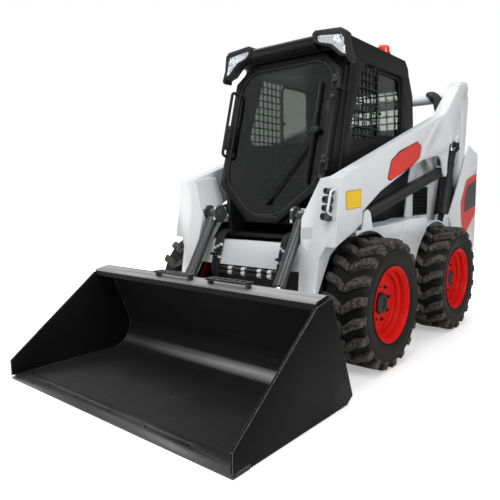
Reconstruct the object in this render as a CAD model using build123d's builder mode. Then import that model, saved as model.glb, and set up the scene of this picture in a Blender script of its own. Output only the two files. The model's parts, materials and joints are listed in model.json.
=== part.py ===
"""Compact vertical-lift skid steer loader with an enclosed cab and a dirt bucket.

Millimetres, +Z up. The machine faces -Y and +X is the operator's left. The origin
is on the ground, in the middle of the machine's length and width. Side outlines are
drawn on a datum plane half way between the axles, so their (y, z) points are
measured from there.
"""

import os
from math import atan, cos, degrees, radians, sin

from build123d import *

os.makedirs("parts", exist_ok=True)

# ---------------------------------------------------------------- driving sizes
FRONT_END = 1939.0  # axle mid-point to the bucket's cutting edge
REAR_END = 1439.0  # axle mid-point to the rear bumper
AXLE_MID = (FRONT_END - REAR_END) / 2

WHEELBASE = 1082.0
WHEEL_X = 687.0  # centre plane of the tyres
TYRE_RADIUS = 386.0
TYRE_WIDTH = 264.0
RIM_RADIUS = 212.0
RIM_FLANGE = 225.0
RIM_WIDTH = 250.0
DISC_OFFSET = 22.0
DISC_THICKNESS = 14.0
DISC_FACE = DISC_OFFSET + DISC_THICKNESS
HUB_RADIUS = 62.0
HUB_STAND = 22.0  # how far the hub stands before the disc
LUGS = 20  # on each side of the tread
LUG_HEIGHT = 34.0
LUG_WIDTH = 58.0
LUG_SWEEP = 0.16  # radians that a lug's shoulder end runs ahead of its middle end
ARCH_GAP = 34.0  # tyre to fender

PLATE = 12.0  # usual wall of the welded frames
FIT = 0.1  # radial running clearance of pins
SIDE_GAP = 6.0  # side clearance between moving links and their plates

TUB_HALF = 430.0  # outside of the chain cases
CASE_INNER = 300.0
CASE_TOP = 640.0
BELLY = 190.0
BAY_HALF = TUB_HALF + 50  # outside of the engine bay walls
DECK = 830.0  # cab floor level
COWL_LOW = DECK - 80  # bottom of the cab front's cowl
FLOOR_PAN = 30.0  # thickness of the cab's floor

ARM_OUT = 640.0  # outer face of a lift arm
ARM_WIDTH = 95.0
ARM_IN = ARM_OUT - ARM_WIDTH
LINK_HALF = 24.0  # half thickness of the control links
LINK_MID = ARM_OUT - ARM_WIDTH / 2

CAB_HALF = 435.0
CAB_WALL = 45.0
DOOR_LEAN = 0.27  # how far the door's face leans back for each unit of height
DOOR_TOP = 1890.0
DOOR_TOP_Y = -470.0
DOOR_THICKNESS = 45.0
HINGE_X = 430.0
HINGE_STAND = 8.0  # the hinge line stands this far before the door's face
HINGE_LENGTH = 40.0
HINGES = (1160.0, 1640.0)  # heights of the two hinges
LEAN_BACK = atan(DOOR_LEAN)

BUCKET_HALF = 863.5
BUCKET_WALL = 12.0
BUCKET_LEAN = 20.0
BUCKET_CURVE = 150.0
EDGE_DEPTH = 95.0
EDGE_THICKNESS = 20.0
EDGE_HOLE_PITCH = 278.0
EDGE_HOLE_RADIUS = 10.0

# pivots, as (y, z) from the axle mid-point
PIN_D = (-540.0, 893.0)  # control link on the frame
PIN_C = (674.0, 1180.0)  # control link on the arm
PIN_A = (1075.0, 1858.0)  # rear link on the arm
PIN_B = (1100.0, 1100.0)  # rear link's lower eye, inside the upright
PIN_E = (760.0, 815.0)  # lift cylinder on the frame
PIN_F = (925.0, 1450.0)  # lift cylinder on the arm
PIN_G = (-806.0, 898.0)  # tilt cylinder on the arm
PIN_Q = (-1112.0, 385.0)  # tilt cylinder on the tool coupler
PIN_P = (-1080.0, 205.0)  # tool coupler on the arm
TILT_X = 360.0
TILT_PIN = 18.0
EYE_ROOM = 32.0  # half the room for a tilt cylinder's eye between its cheeks

BOSS_STAND = 7.0  # how far bosses stand out of the arm's and the upright's faces

SIDE = Plane(origin=(0, AXLE_MID, 0), x_dir=(0, 1, 0), z_dir=(1, 0, 0))
FRONT = Plane(origin=(0, AXLE_MID, 0), x_dir=(1, 0, 0), z_dir=(0, -1, 0))
PLAN = Plane(origin=(0, AXLE_MID, 0), x_dir=(1, 0, 0), z_dir=(0, 0, 1))
DOOR_FACE = Plane(
    origin=(0, AXLE_MID + DOOR_TOP_Y - DOOR_LEAN * DOOR_TOP, 0),
    x_dir=(1, 0, 0),
    z_dir=(0, -1, DOOR_LEAN),
)


# ---------------------------------------------------------------- small helpers
def side_plate(points, x_from, x_to, mode=Mode.ADD):
    """A prism across the machine from a side outline of (y, z) points."""
    with BuildSketch(SIDE.offset(x_from)) as outline:
        with BuildLine():
            Polyline(*points, close=True)
        make_face()
    extrude(outline.sketch, amount=x_to - x_from, mode=mode)


def front_plate(points, y_from, y_to, mode=Mode.ADD):
    """A prism along the machine from a front outline of (x, z) points."""
    with BuildSketch(FRONT.offset(-y_from)) as outline:
        with BuildLine():
            Polyline(*points, close=True)
        make_face()
    extrude(outline.sketch, amount=y_from - y_to, mode=mode)


def cross_bar(centre, radius, x_from, x_to, mode=Mode.ADD):
    """A round bar or hole across the machine, at a (y, z) centre."""
    with BuildSketch(SIDE.offset(x_from)) as disc:
        with Locations(centre):
            Circle(radius)
    extrude(disc.sketch, amount=x_to - x_from, mode=mode)


def block(x_range, y_range, z_range, mode=Mode.ADD):
    """A rectangular block given by its limits."""
    with BuildSketch(PLAN.offset(z_range[0])) as base:
        with Locations(((x_range[0] + x_range[1]) / 2, (y_range[0] + y_range[1]) / 2)):
            Rectangle(x_range[1] - x_range[0], y_range[1] - y_range[0])
    extrude(base.sketch, amount=z_range[1] - z_range[0], mode=mode)


def door_y(z, depth=0.0):
    """Where the leaning face of the door is at height z, and so far behind it."""
    return DOOR_TOP_Y - DOOR_LEAN * (DOOR_TOP - z) + depth


def on_door(x, z):
    """A point of the door's leaning face, in that face's own plane."""
    return (x, z / cos(LEAN_BACK))


def toward(start, end, distance):
    """The point this far from start on the way to end."""
    dy, dz = end[0] - start[0], end[1] - start[1]
    length = (dy * dy + dz * dz) ** 0.5
    return (start[0] + dy / length * distance, start[1] + dz / length * distance)


def strut(start, end, radius, x_mid):
    """A round tube between two (y, z) points in the plane x = x_mid."""
    dy, dz = end[0] - start[0], end[1] - start[1]
    length = (dy * dy + dz * dz) ** 0.5
    base = Plane(
        origin=(x_mid, AXLE_MID + start[0], start[1]),
        x_dir=(1, 0, 0),
        z_dir=(0, dy / length, dz / length),
    )
    with BuildSketch(base) as ring:
        Circle(radius)
    extrude(ring.sketch, amount=length)


def face_tube(points, bends, radius, base):
    """A bent round tube along points of (right, up, out) in a plane, with these bends."""
    route = [base.from_local_coords(Vector(*point)) for point in points]
    with BuildLine(mode=Mode.PRIVATE) as path:
        line = FilletPolyline(*route, radius=bends)
    with BuildSketch(Plane(origin=line @ 0, z_dir=line % 0)) as ring:
        Circle(radius)
    sweep(ring.sketch, path=path.wires()[0])


def finish(piece, name):
    """Name a finished piece and write its file."""
    piece.part.label = name
    export_step(piece.part, f"parts/{name}.step")


# ---------------------------------------------------------------- chassis
ENGINE_LOW = 300.0
ENGINE_FEET = (700.0, 1120.0)
with BuildPart() as chassis_tub:
    # belly pan and the two chain cases that carry the axles
    block((-TUB_HALF, TUB_HALF), (-700, 760), (BELLY, BELLY + PLATE))
    block((-BAY_HALF, BAY_HALF), (760, 1400), (BELLY, BELLY + PLATE))
    block((CASE_INNER, TUB_HALF), (-700, 760), (BELLY + PLATE, CASE_TOP))
    # shelf and upper side wall
    block((CASE_INNER, BAY_HALF), (-700, 760), (CASE_TOP, CASE_TOP + PLATE))
    block((BAY_HALF - PLATE, BAY_HALF), (-700, 760), (CASE_TOP + PLATE, DECK))
    block((BAY_HALF - PLATE, BAY_HALF), (760, 1400), (BELLY + PLATE, DECK))
    # rails that the cab stands on
    block((CAB_HALF - CAB_WALL, BAY_HALF - PLATE), (-590, 540), (DECK - PLATE, DECK))
    # engine feet
    for foot_y in ENGINE_FEET:
        block((170, 240), (foot_y, foot_y + 60), (BELLY + PLATE, ENGINE_LOW))
    mirror(about=Plane.YZ)
    # front wall under the foot well
    side_plate(
        [(-700, BELLY), (-700, 640), (-688, 640), (-688, BELLY)], -CASE_INNER, CASE_INNER
    )
    # fire wall between the cab and the engine
    block((-CASE_INNER, CASE_INNER), (560, 572), (BELLY + PLATE, DECK))
finish(chassis_tub, "chassis_tub")

FENDER_RAIL = 816.0
with BuildPart() as fenders:
    # outer skirt, cut to the arches of both tyres
    side_plate(
        [(-668, 812), (-37, 838), (60, 850), (330, 850), (330, 560), (-300, 560), (-668, 640)],
        ARM_OUT - 8,
        ARM_OUT,
    )
    # top rail from the tub to the skirt
    side_plate(
        [(-668, 800), (-668, 812), (-37, 838), (60, 850), (330, 850), (330, 838), (60, 838),
         (-37, 826)],
        BAY_HALF + PLATE,
        ARM_OUT - 8,
    )
    for wheel_y in (-WHEELBASE / 2, WHEELBASE / 2):
        cross_bar(
            (wheel_y, TYRE_RADIUS), TYRE_RADIUS + ARCH_GAP, BAY_HALF, ARM_OUT + 1, Mode.SUBTRACT
        )
    # bearing plates of the control link
    for x_from in (LINK_MID - LINK_HALF - SIDE_GAP - PLATE, LINK_MID + LINK_HALF + SIDE_GAP):
        side_plate(
            [(-600, 806), (-578, 915), (-502, 915), (-470, 812)], x_from, x_from + PLATE
        )
        cross_bar(PIN_D, 38, x_from, x_from + PLATE)
    cross_bar(PIN_D, 17, LINK_MID - LINK_HALF - SIDE_GAP, LINK_MID + LINK_HALF + SIDE_GAP)
    mirror(about=Plane.YZ)
finish(fenders, "fenders")

HOOD_HALF = BAY_HALF - SIDE_GAP
HOOD_PIN = (552.0, 1488.0)
HOOD_PIN_RADIUS = 8.0
GATE_HALF = 464.0
GATE_PIN = (471.0, 1430.0)  # (x, y) of the tailgate's hinge line
GATE_KNUCKLES = (560.0, 1150.0)
KNUCKLE_RADIUS = 7.0
KNUCKLE_PIN = 4.0
KNUCKLE_LENGTH = 60.0
KNUCKLE_GAP = 0.3
SCREEN_Y = (415.0, 705.0)
SCREEN_Z = (850.0, 1068.0)
SCREEN_FRAME = 12.0
SCREEN_CELLS = (5, 7)
SCREEN_WIRE = 6.0
LAMP_X = (505.0, 615.0)
LAMP_Z = (1130.0, 1290.0)
UPRIGHT_OUTLINE = [
    (782, 830), (956, 1058), (1207, 1412), (1439, 1349), (1439, 440), (1010, 440), (930, 620),
    (830, 760),
]
INNER_OUTLINE = [
    (-668, 760), (-668, 812), (290, 842), (352, 1130), (430, 1330), (532, 1502),
    (572, 1502), (600, 1330), (650, 1240),
    (980, 1240), (1207, 1412), (1439, 1349), (1439, 300), (760, 300), (700, 760),
]
with BuildPart() as uprights:
    side_plate(INNER_OUTLINE, BAY_HALF, BAY_HALF + PLATE)
    cross_bar(HOOD_PIN, HOOD_PIN_RADIUS, HOOD_HALF - PLATE, BAY_HALF)
    # fixed knuckles of the tailgate, each with the pin that the gate's knuckle turns on
    fixed_length = KNUCKLE_LENGTH - KNUCKLE_GAP
    for knuckle_z in (GATE_KNUCKLES[0] - KNUCKLE_LENGTH, GATE_KNUCKLES[1] + KNUCKLE_LENGTH):
        block(
            (GATE_PIN[0], BAY_HALF), (GATE_PIN[1] - KNUCKLE_PIN, GATE_PIN[1] + KNUCKLE_PIN),
            (knuckle_z, knuckle_z + fixed_length),
        )
        with Locations((GATE_PIN[0], AXLE_MID + GATE_PIN[1], knuckle_z + fixed_length / 2)):
            Cylinder(KNUCKLE_RADIUS, fixed_length)
    for knuckle_z in GATE_KNUCKLES:
        with Locations((GATE_PIN[0], AXLE_MID + GATE_PIN[1], knuckle_z + KNUCKLE_LENGTH / 2)):
            Cylinder(KNUCKLE_PIN, KNUCKLE_LENGTH + 2)
    # window for the screen beside the engine
    block((BAY_HALF - 1, BAY_HALF + PLATE + 1), SCREEN_Y, SCREEN_Z, Mode.SUBTRACT)
    side_plate(UPRIGHT_OUTLINE, ARM_OUT - PLATE, ARM_OUT)
    cross_bar((1395, 1229), 28, ARM_OUT, ARM_OUT + BOSS_STAND)
    cross_bar(
        (WHEELBASE / 2, TYRE_RADIUS), TYRE_RADIUS + ARCH_GAP, ARM_OUT - PLATE - 1, ARM_OUT + 1,
        Mode.SUBTRACT,
    )
    # rear wall and bottom wall close the box
    block((BAY_HALF + PLATE, ARM_OUT - PLATE), (REAR_END - PLATE, REAR_END), (440, 1349))
    block(LAMP_X, (REAR_END - PLATE - 1, REAR_END + 1), LAMP_Z, Mode.SUBTRACT)
    block((BAY_HALF + PLATE, ARM_OUT - PLATE), (1040, 1427), (440, 452))
    # arched cover over the rear tyre that carries the lift cylinder
    with BuildSketch(SIDE.offset(BAY_HALF + PLATE)) as arch:
        with Locations((WHEELBASE / 2, TYRE_RADIUS)):
            Circle(TYRE_RADIUS + ARCH_GAP + 10)
            Circle(TYRE_RADIUS + ARCH_GAP, mode=Mode.SUBTRACT)
        with Locations((600, 900)):
            Rectangle(520, 320, mode=Mode.INTERSECT)
    extrude(arch.sketch, amount=ARM_OUT - PLATE - BAY_HALF - PLATE)
    for x_from in (LINK_MID - 27 - PLATE, LINK_MID + 27):
        side_plate(
            [(690, 772), (722, 830), (798, 830), (830, 735)], x_from, x_from + PLATE - 3
        )
        cross_bar(PIN_E, 38, x_from, x_from + PLATE - 3)
    cross_bar(PIN_E, 16, LINK_MID - 27, LINK_MID + 27)
    cross_bar(
        (WHEELBASE / 2, TYRE_RADIUS), TYRE_RADIUS + ARCH_GAP, BAY_HALF + PLATE, ARM_OUT - PLATE,
        Mode.SUBTRACT,
    )
    mirror(about=Plane.YZ)
finish(uprights, "uprights")

with BuildPart() as side_screens:
    cell_y = (SCREEN_Y[1] - SCREEN_Y[0] - 2 * SCREEN_FRAME) / SCREEN_CELLS[0]
    cell_z = (SCREEN_Z[1] - SCREEN_Z[0] - 2 * SCREEN_FRAME) / SCREEN_CELLS[1]
    block((BAY_HALF + 2, BAY_HALF + 8), SCREEN_Y, SCREEN_Z)
    with BuildSketch(SIDE.offset(BAY_HALF)) as cells:
        with Locations((sum(SCREEN_Y) / 2, sum(SCREEN_Z) / 2)):
            with GridLocations(cell_y, cell_z, *SCREEN_CELLS):
                Rectangle(cell_y - SCREEN_WIRE, cell_z - SCREEN_WIRE)
    extrude(cells.sketch, amount=PLATE, mode=Mode.SUBTRACT)
    mirror(about=Plane.YZ)
finish(side_screens, "side_screens")

# dark covers behind the lift cylinders, on the outside of the inner plates
with BuildPart() as side_covers:
    side_plate(
        [(836, 842), (922, 1147), (975, 1205), (1300, 1205), (1300, 842)],
        BAY_HALF + PLATE, BAY_HALF + PLATE + 4,
    )
    mirror(about=Plane.YZ)
finish(side_covers, "side_covers")

with BuildPart() as tail_lamps:
    block(
        (LAMP_X[0] + FIT, LAMP_X[1] - FIT), (REAR_END - PLATE, REAR_END - 1),
        (LAMP_Z[0] + FIT, LAMP_Z[1] - FIT),
    )
    fillet(tail_lamps.faces().sort_by(Axis.Y)[-1].edges(), 6)
    mirror(about=Plane.YZ)
finish(tail_lamps, "tail_lamps")

AXLE_TUBE = 58.0
SHAFT = 32.0
SHAFT_DEPTH = 70.0  # how far the wheel's shaft runs into its housing
HOUSING_END = 548.0
with BuildPart() as axle_housings:
    for wheel_y in (-WHEELBASE / 2, WHEELBASE / 2):
        centre = (wheel_y, TYRE_RADIUS)
        cross_bar(centre, 95, TUB_HALF, TUB_HALF + 16)
        cross_bar(centre, AXLE_TUBE, TUB_HALF + 16, HOUSING_END)
        cross_bar(
            centre, SHAFT + FIT, HOUSING_END - SHAFT_DEPTH - 2, HOUSING_END + 1, Mode.SUBTRACT
        )
    mirror(about=Plane.YZ)
finish(axle_housings, "axle_housings")

with BuildPart() as engine:
    block((-250, 250), (650, 1230), (ENGINE_LOW, 980))
finish(engine, "engine")

HOOD_LOW = 1240.0
with BuildPart() as engine_hood:
    side_plate(
        [(540, HOOD_LOW), (540, 1500), (1180, 1440), (1385, 1320), (1385, HOOD_LOW)],
        -HOOD_HALF, HOOD_HALF,
    )
    side_plate(
        [(552, HOOD_LOW - 1), (552, 1487), (1176, 1428), (1373, 1313), (1373, HOOD_LOW - 1)],
        -HOOD_HALF + PLATE, HOOD_HALF - PLATE, Mode.SUBTRACT,
    )
    for row in range(7):
        y_low = 640 + row * 70
        block((-300, 300), (y_low, y_low + 34), (1380, 1520), Mode.SUBTRACT)
    cross_bar(
        HOOD_PIN, HOOD_PIN_RADIUS + FIT, -HOOD_HALF - 1, HOOD_HALF + 1, Mode.SUBTRACT
    )
finish(engine_hood, "engine_hood")

with BuildPart() as tailgate:
    block((-GATE_HALF, GATE_HALF), (1402, 1437), (450, 1285))
    for row in range(9):
        z_low = 640 + row * 62
        block((-330, 330), (1390, 1440), (z_low, z_low + 26), Mode.SUBTRACT)
    for knuckle_z in GATE_KNUCKLES:
        block(
            (GATE_HALF, GATE_PIN[0]), (GATE_PIN[1] - KNUCKLE_PIN, GATE_PIN[1] + KNUCKLE_PIN),
            (knuckle_z, knuckle_z + KNUCKLE_LENGTH),
        )
        with Locations((GATE_PIN[0], AXLE_MID + GATE_PIN[1], knuckle_z + KNUCKLE_LENGTH / 2)):
            Cylinder(KNUCKLE_RADIUS, KNUCKLE_LENGTH)
            Cylinder(KNUCKLE_PIN + FIT, KNUCKLE_LENGTH + 1, mode=Mode.SUBTRACT)
finish(tailgate, "tailgate")

with BuildPart() as rear_bumper:
    block((-BAY_HALF, BAY_HALF), (1400, 1439), (300, 440))
    for hitch_x in (-120, 120):
        with Locations((hitch_x, AXLE_MID + 1420, 370)):
            Cylinder(26, 60, rotation=(90, 0, 0), mode=Mode.SUBTRACT)
finish(rear_bumper, "rear_bumper")

# ---------------------------------------------------------------- cab
ROOF_Z = 1865.0  # underside of the roof
ROOF_TOP = ROOF_Z + 107
ROOF_FRONT = -470.0
BEACON = (380.0, 120.0)
BEACON_Z = 1975.0
BEACON_RADIUS = 44.0
BEACON_HEIGHT = 56.0
POST_SLOPE = 0.189
POST_TOP_Y = -395.0  # front of the cab's posts at the roof
POST_LOW_Y = POST_TOP_Y - POST_SLOPE * (ROOF_Z - DECK)
CAB_BACK = 525.0
WINDOW = [(-245, 1845), (335, 1850), (335, 1415), (-425, 1362)]
WINDOW_BEND = 55.0
GUARD_BACK = -22.0  # the guard covers the window's front half, up to here
GUARD_PITCH = 50.0
GUARD_CELLS = (7, 10)


def window_pane(x_from, thickness, mode=Mode.ADD):
    """The side window's outline with its rounded corners, as a plate."""
    with BuildSketch(SIDE.offset(x_from)) as pane:
        with BuildLine():
            Polyline(*WINDOW, close=True)
        make_face()
        fillet(pane.vertices(), WINDOW_BEND)
    extrude(pane.sketch, amount=thickness, mode=mode)


with BuildPart() as cab_shell:
    side_plate(
        [(POST_LOW_Y, DECK), (POST_TOP_Y, ROOF_Z), (430, ROOF_Z), (500, 1735), (CAB_BACK, 1490),
         (CAB_BACK, DECK)],
        -CAB_HALF, CAB_HALF,
    )
    side_plate(
        [(-700, DECK + FLOOR_PAN), (-500, ROOF_Z - 30), (400, ROOF_Z - 30), (455, 1725),
         (480, 1480), (480, DECK + FLOOR_PAN)],
        -CAB_HALF + CAB_WALL, CAB_HALF - CAB_WALL, Mode.SUBTRACT,
    )
    window_pane(-CAB_HALF - 1, 2 * CAB_HALF + 2, Mode.SUBTRACT)
    block((-330, 330), (400, 600), (1260, 1780), Mode.SUBTRACT)
finish(cab_shell, "cab_shell")

PORTAL = [(-300, COWL_LOW), (300, COWL_LOW), (425, 1110), (425, 1790), (330, 1880), (-330, 1880),
          (-425, 1790), (-425, 1110)]
PORTAL_OPEN = [(-280, COWL_LOW + 25), (280, COWL_LOW + 25), (397, 1110), (397, 1775),
               (318, 1850), (-318, 1850),
               (-397, 1775), (-397, 1110)]


def between_door_and_posts():
    """Keep what lies between the door's back and the cab's front posts."""
    side_plate(
        [
            (door_y(COWL_LOW - 10, DOOR_THICKNESS + 3), COWL_LOW - 10),
            (door_y(1890, DOOR_THICKNESS + 3), 1890),
            (POST_TOP_Y - POST_SLOPE * (ROOF_Z - 1890) - 0.5, 1890),
            (POST_LOW_Y - 0.5, DECK),
            (-607, COWL_LOW - 10),
        ],
        -600, 600, Mode.INTERSECT,
    )


def hinge_line(z, length, radius, mode=Mode.ADD):
    """A round piece on the door's leaning hinge line, upwards from height z."""
    base = Plane(
        origin=(HINGE_X, AXLE_MID + door_y(z, -HINGE_STAND), z),
        x_dir=(1, 0, 0),
        z_dir=(0, DOOR_LEAN, 1),
    )
    with BuildSketch(base) as ring:
        Circle(radius)
    extrude(ring.sketch, amount=length, mode=mode)


def hinge_leaf(z, length, x_from, x_to, depth):
    """A plate along the hinge line, from the line to a depth behind the door's face."""
    side_plate(
        [
            (door_y(z, -HINGE_STAND), z), (door_y(z + length, -HINGE_STAND), z + length),
            (door_y(z + length, depth), z + length), (door_y(z, depth), z),
        ],
        x_from, x_to,
    )


with BuildPart() as cab_portal:
    front_plate(PORTAL, -300, -900)
    front_plate(PORTAL_OPEN, -200, -1000, Mode.SUBTRACT)
    between_door_and_posts()
    for hinge_z in HINGES:
        hinge_leaf(hinge_z, HINGE_LENGTH - 6, HINGE_X - 5, HINGE_X + 5, DOOR_THICKNESS + 30)
        hinge_line(hinge_z, HINGE_LENGTH, 11)
        hinge_line(hinge_z + 30, HINGE_LENGTH, 5)
finish(cab_portal, "cab_portal")

with BuildPart() as cab_roof:
    side_plate(
        [(ROOF_FRONT, ROOF_Z + 28), (ROOF_FRONT, ROOF_TOP - 17), (-440, ROOF_TOP),
         (360, ROOF_TOP - 4), (412, ROOF_TOP - 52), (428, ROOF_Z), (-388, ROOF_Z),
         (-388, ROOF_Z + 28)],
        -CAB_HALF, CAB_HALF,
    )
    fillet(cab_roof.edges().filter_by(Axis.X).group_by(Axis.Z)[-1], 18)
    with Locations((BEACON[0], AXLE_MID + BEACON[1], BEACON_Z)):
        Cylinder(52, 20, align=(Align.CENTER, Align.CENTER, Align.MAX))
finish(cab_roof, "cab_roof")

with BuildPart() as side_windows:
    window_pane(CAB_HALF - 40, 6)
    mirror(about=Plane.YZ)
finish(side_windows, "side_windows")

# square mesh outside the pane, over the front half of each side window
with BuildPart() as window_guards:
    window_pane(CAB_HALF - 20, 5)
    with BuildSketch(SIDE.offset(CAB_HALF - 21)) as cells:
        with Locations((-200, 1600)):
            with GridLocations(GUARD_PITCH, GUARD_PITCH, *GUARD_CELLS):
                Rectangle(GUARD_PITCH - SCREEN_WIRE, GUARD_PITCH - SCREEN_WIRE)
    extrude(cells.sketch, amount=7, mode=Mode.SUBTRACT)
    block((CAB_HALF - 30, CAB_HALF), (GUARD_BACK, 500), (1300, 1900), Mode.SUBTRACT)
    mirror(about=Plane.YZ)
finish(window_guards, "window_guards")

with BuildPart() as rear_window:
    side_plate(
        [(500, 1260), (506, 1260), (506, 1488), (481, 1730), (461, 1780), (455, 1780),
         (475, 1729), (500, 1487)],
        -330, 330,
    )
finish(rear_window, "rear_window")

SEAT_HALF = 230.0
SEAT_PAN = DECK + 120  # top of the seat's box
with BuildPart() as seat:
    block((-SEAT_HALF, SEAT_HALF), (-60, 400), (DECK + FLOOR_PAN, SEAT_PAN))
    side_plate(
        [(-60, SEAT_PAN), (-80, SEAT_PAN + 150), (-40, SEAT_PAN + 170), (300, SEAT_PAN + 160),
         (385, SEAT_PAN + 610), (445, SEAT_PAN + 610), (400, SEAT_PAN)],
        -SEAT_HALF, SEAT_HALF,
    )
finish(seat, "seat")

POD_INNER = SEAT_HALF + 30
POD_TOP = DECK + 320
with BuildPart() as control_pods:
    side_plate(
        [(-300, DECK + FLOOR_PAN), (-330, POD_TOP - 60), (-280, POD_TOP), (250, POD_TOP),
         (250, DECK + FLOOR_PAN)],
        POD_INNER, CAB_HALF - CAB_WALL - 5,
    )
    mirror(about=Plane.YZ)
finish(control_pods, "control_pods")

# lamp pods hang on the roof's front corners; each shell holds a slanting lens
POD_SHELL = [
    (244, 1978), (266, 1996), (449, 1982), (476, 1958), (488, 1868), (516, 1800), (502, 1782),
    (490, 1812), (440, 1826), (366, 1890), (286, 1915), (256, 1932),
]
LENS = [
    (268, 1950), (284, 1968), (452, 1952), (470, 1916), (482, 1828), (452, 1838), (378, 1902),
    (292, 1926),
]
POD_FRONT = -546.0
LENS_DEPTH = 26.0
with BuildPart() as work_lights:
    front_plate(POD_SHELL, POD_FRONT, ROOF_FRONT)
    front_plate(LENS, POD_FRONT - 1, POD_FRONT + LENS_DEPTH, Mode.SUBTRACT)
    mirror(about=Plane.YZ)
finish(work_lights, "work_lights")

with BuildPart() as lamp_lenses:
    front_plate(LENS, POD_FRONT + 3, POD_FRONT + LENS_DEPTH)
    mirror(about=Plane.YZ)
finish(lamp_lenses, "lamp_lenses")

with BuildPart() as beacon:
    with Locations((BEACON[0], AXLE_MID + BEACON[1], BEACON_Z)):
        Cylinder(BEACON_RADIUS, BEACON_HEIGHT, align=(Align.CENTER, Align.CENTER, Align.MIN))
        fillet(beacon.edges().sort_by(Axis.Z)[-1], 20)
        Cylinder(BEACON_RADIUS + 6, 12, align=(Align.CENTER, Align.CENTER, Align.MIN))
finish(beacon, "beacon")

# ---------------------------------------------------------------- door
DOOR_OUTLINE = [(-125, 850), (125, 850), (418, 1085), (418, 1770), (300, 1878), (-300, 1878),
                (-418, 1770), (-418, 1085)]
DOOR_OPEN = [(-108, 890), (108, 890), (380, 1105), (380, 1752), (285, 1842), (-285, 1842),
             (-380, 1752), (-380, 1105)]


GLASS_DEPTH = 12.0  # the glass lies this far behind the door's face


def door_slab(depth_from, depth_to):
    """Keep a slab that leans with the door."""
    side_plate(
        [
            (door_y(800, depth_from), 800),
            (door_y(1900, depth_from), 1900),
            (door_y(1900, depth_to), 1900),
            (door_y(800, depth_to), 800),
        ],
        -600, 600, Mode.INTERSECT,
    )


with BuildPart() as door_frame:
    front_plate(DOOR_OUTLINE, -300, -900)
    front_plate(DOOR_OPEN, -200, -1000, Mode.SUBTRACT)
    door_slab(0, DOOR_THICKNESS)
    for hinge_z in HINGES:
        leaf_z = hinge_z + HINGE_LENGTH * cos(LEAN_BACK) + 1
        hinge_line(leaf_z, HINGE_LENGTH - 4, 11)
        side_plate(
            [
                (door_y(leaf_z + 6, -14), leaf_z + 6), (door_y(leaf_z + 32, -14), leaf_z + 32),
                (door_y(leaf_z + 32, 0), leaf_z + 32), (door_y(leaf_z + 6, 0), leaf_z + 6),
            ],
            385, HINGE_X,
        )
        hinge_line(leaf_z - 20, HINGE_LENGTH + 30, 5 + FIT, Mode.SUBTRACT)
finish(door_frame, "door_frame")

with BuildPart() as door_glass:
    front_plate(DOOR_OPEN, -300, -900)
    door_slab(GLASS_DEPTH, GLASS_DEPTH + 6)
finish(door_glass, "door_glass")

GLASS_FACE = DOOR_FACE.offset(-GLASS_DEPTH * cos(LEAN_BACK))
ARM_STAND = 26.0  # the wiper's arms run this far before the glass
GRAB_X = -398.0
GRAB = (1275.0, 1700.0)
GRAB_STAND = 48.0
WIPER_LOW = (11.0, 985.0)
WIPER_MID = (318.0, 1405.0)
BLADE_X = 300.0
BLADE = (1085.0, 1700.0)  # heights of the blade's ends
with BuildPart() as door_fittings:
    # latch box on the free side of the frame
    with BuildSketch(DOOR_FACE):
        with BuildLine():
            Polyline(
                on_door(-412, 1318), on_door(-412, 1480), on_door(-384, 1480), on_door(-384, 1318),
                close=True,
            )
        make_face()
    extrude(amount=26)
    # grab bar beside it
    face_tube(
        [
            (*on_door(GRAB_X, GRAB[0]), 0), (*on_door(GRAB_X, GRAB[0]), GRAB_STAND),
            (*on_door(GRAB_X, GRAB[1]), GRAB_STAND), (*on_door(GRAB_X, GRAB[1]), 0),
        ],
        22, 10, DOOR_FACE,
    )
    # wiper: motor boss on the glass
    with BuildSketch(GLASS_FACE):
        with Locations(on_door(*WIPER_LOW)):
            Circle(26)
    extrude(amount=ARM_STAND)
    # twin arms
    for arm_x in (-14, 14):
        with BuildSketch(GLASS_FACE.offset(ARM_STAND)):
            with BuildLine():
                Polyline(
                    on_door(WIPER_LOW[0] + arm_x - 4, WIPER_LOW[1]),
                    on_door(WIPER_LOW[0] + arm_x + 4, WIPER_LOW[1]),
                    on_door(WIPER_MID[0] + arm_x * 0.8 + 4, WIPER_MID[1]),
                    on_door(WIPER_MID[0] + arm_x * 0.8 - 4, WIPER_MID[1]),
                    close=True,
                )
            make_face()
        extrude(amount=8)
    # blade, and the carrier that ties it to the arms
    with BuildSketch(GLASS_FACE):
        with BuildLine():
            Polyline(
                on_door(BLADE_X - 4, BLADE[0]), on_door(BLADE_X + 4, BLADE[0]),
                on_door(BLADE_X + 4, BLADE[1]), on_door(BLADE_X - 4, BLADE[1]), close=True,
            )
        make_face()
    extrude(amount=ARM_STAND)
    with BuildSketch(GLASS_FACE.offset(ARM_STAND - 6)):
        with Locations(on_door(WIPER_MID[0] - 6, WIPER_MID[1])):
            Rectangle(50, 34)
    extrude(amount=14)
finish(door_fittings, "door_fittings")

# ---------------------------------------------------------------- lift arms
ARM_OUTLINE = [
    (-835, 1110), (85, 1434), (377, 1526), (643, 1610), (922, 1860), (1010, 1905), (983, 1755),
    (960, 1619), (880, 1510), (795, 1438), (700, 1343), (476, 1291), (261, 1256), (64, 1204),
    (-385, 1040), (-606, 924), (-610, 860), (-689, 818), (-902, 740), (-875, 890),
]
LEG_SIDE = [
    (-835, 1110), (-875, 890), (-950, 480), (-1118, 230), (-1045, 176), (-925, 479), (-788, 715),
    (-700, 830), (-640, 1000), (-640, 1140),
]
# the link's bracket: a broad inner plate, and a narrow tongue in the arm's outer plate
BRACKET = [(460, 1300), (660, 1142), (690, 1142), (730, 1400)]
TONGUE = [
    (476, 1291), (545, 1290), (592, 1258), (622, 1195), (640, 1160), (706, 1160), (712, 1248),
    (735, 1348), (740, 1400),
]
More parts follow.
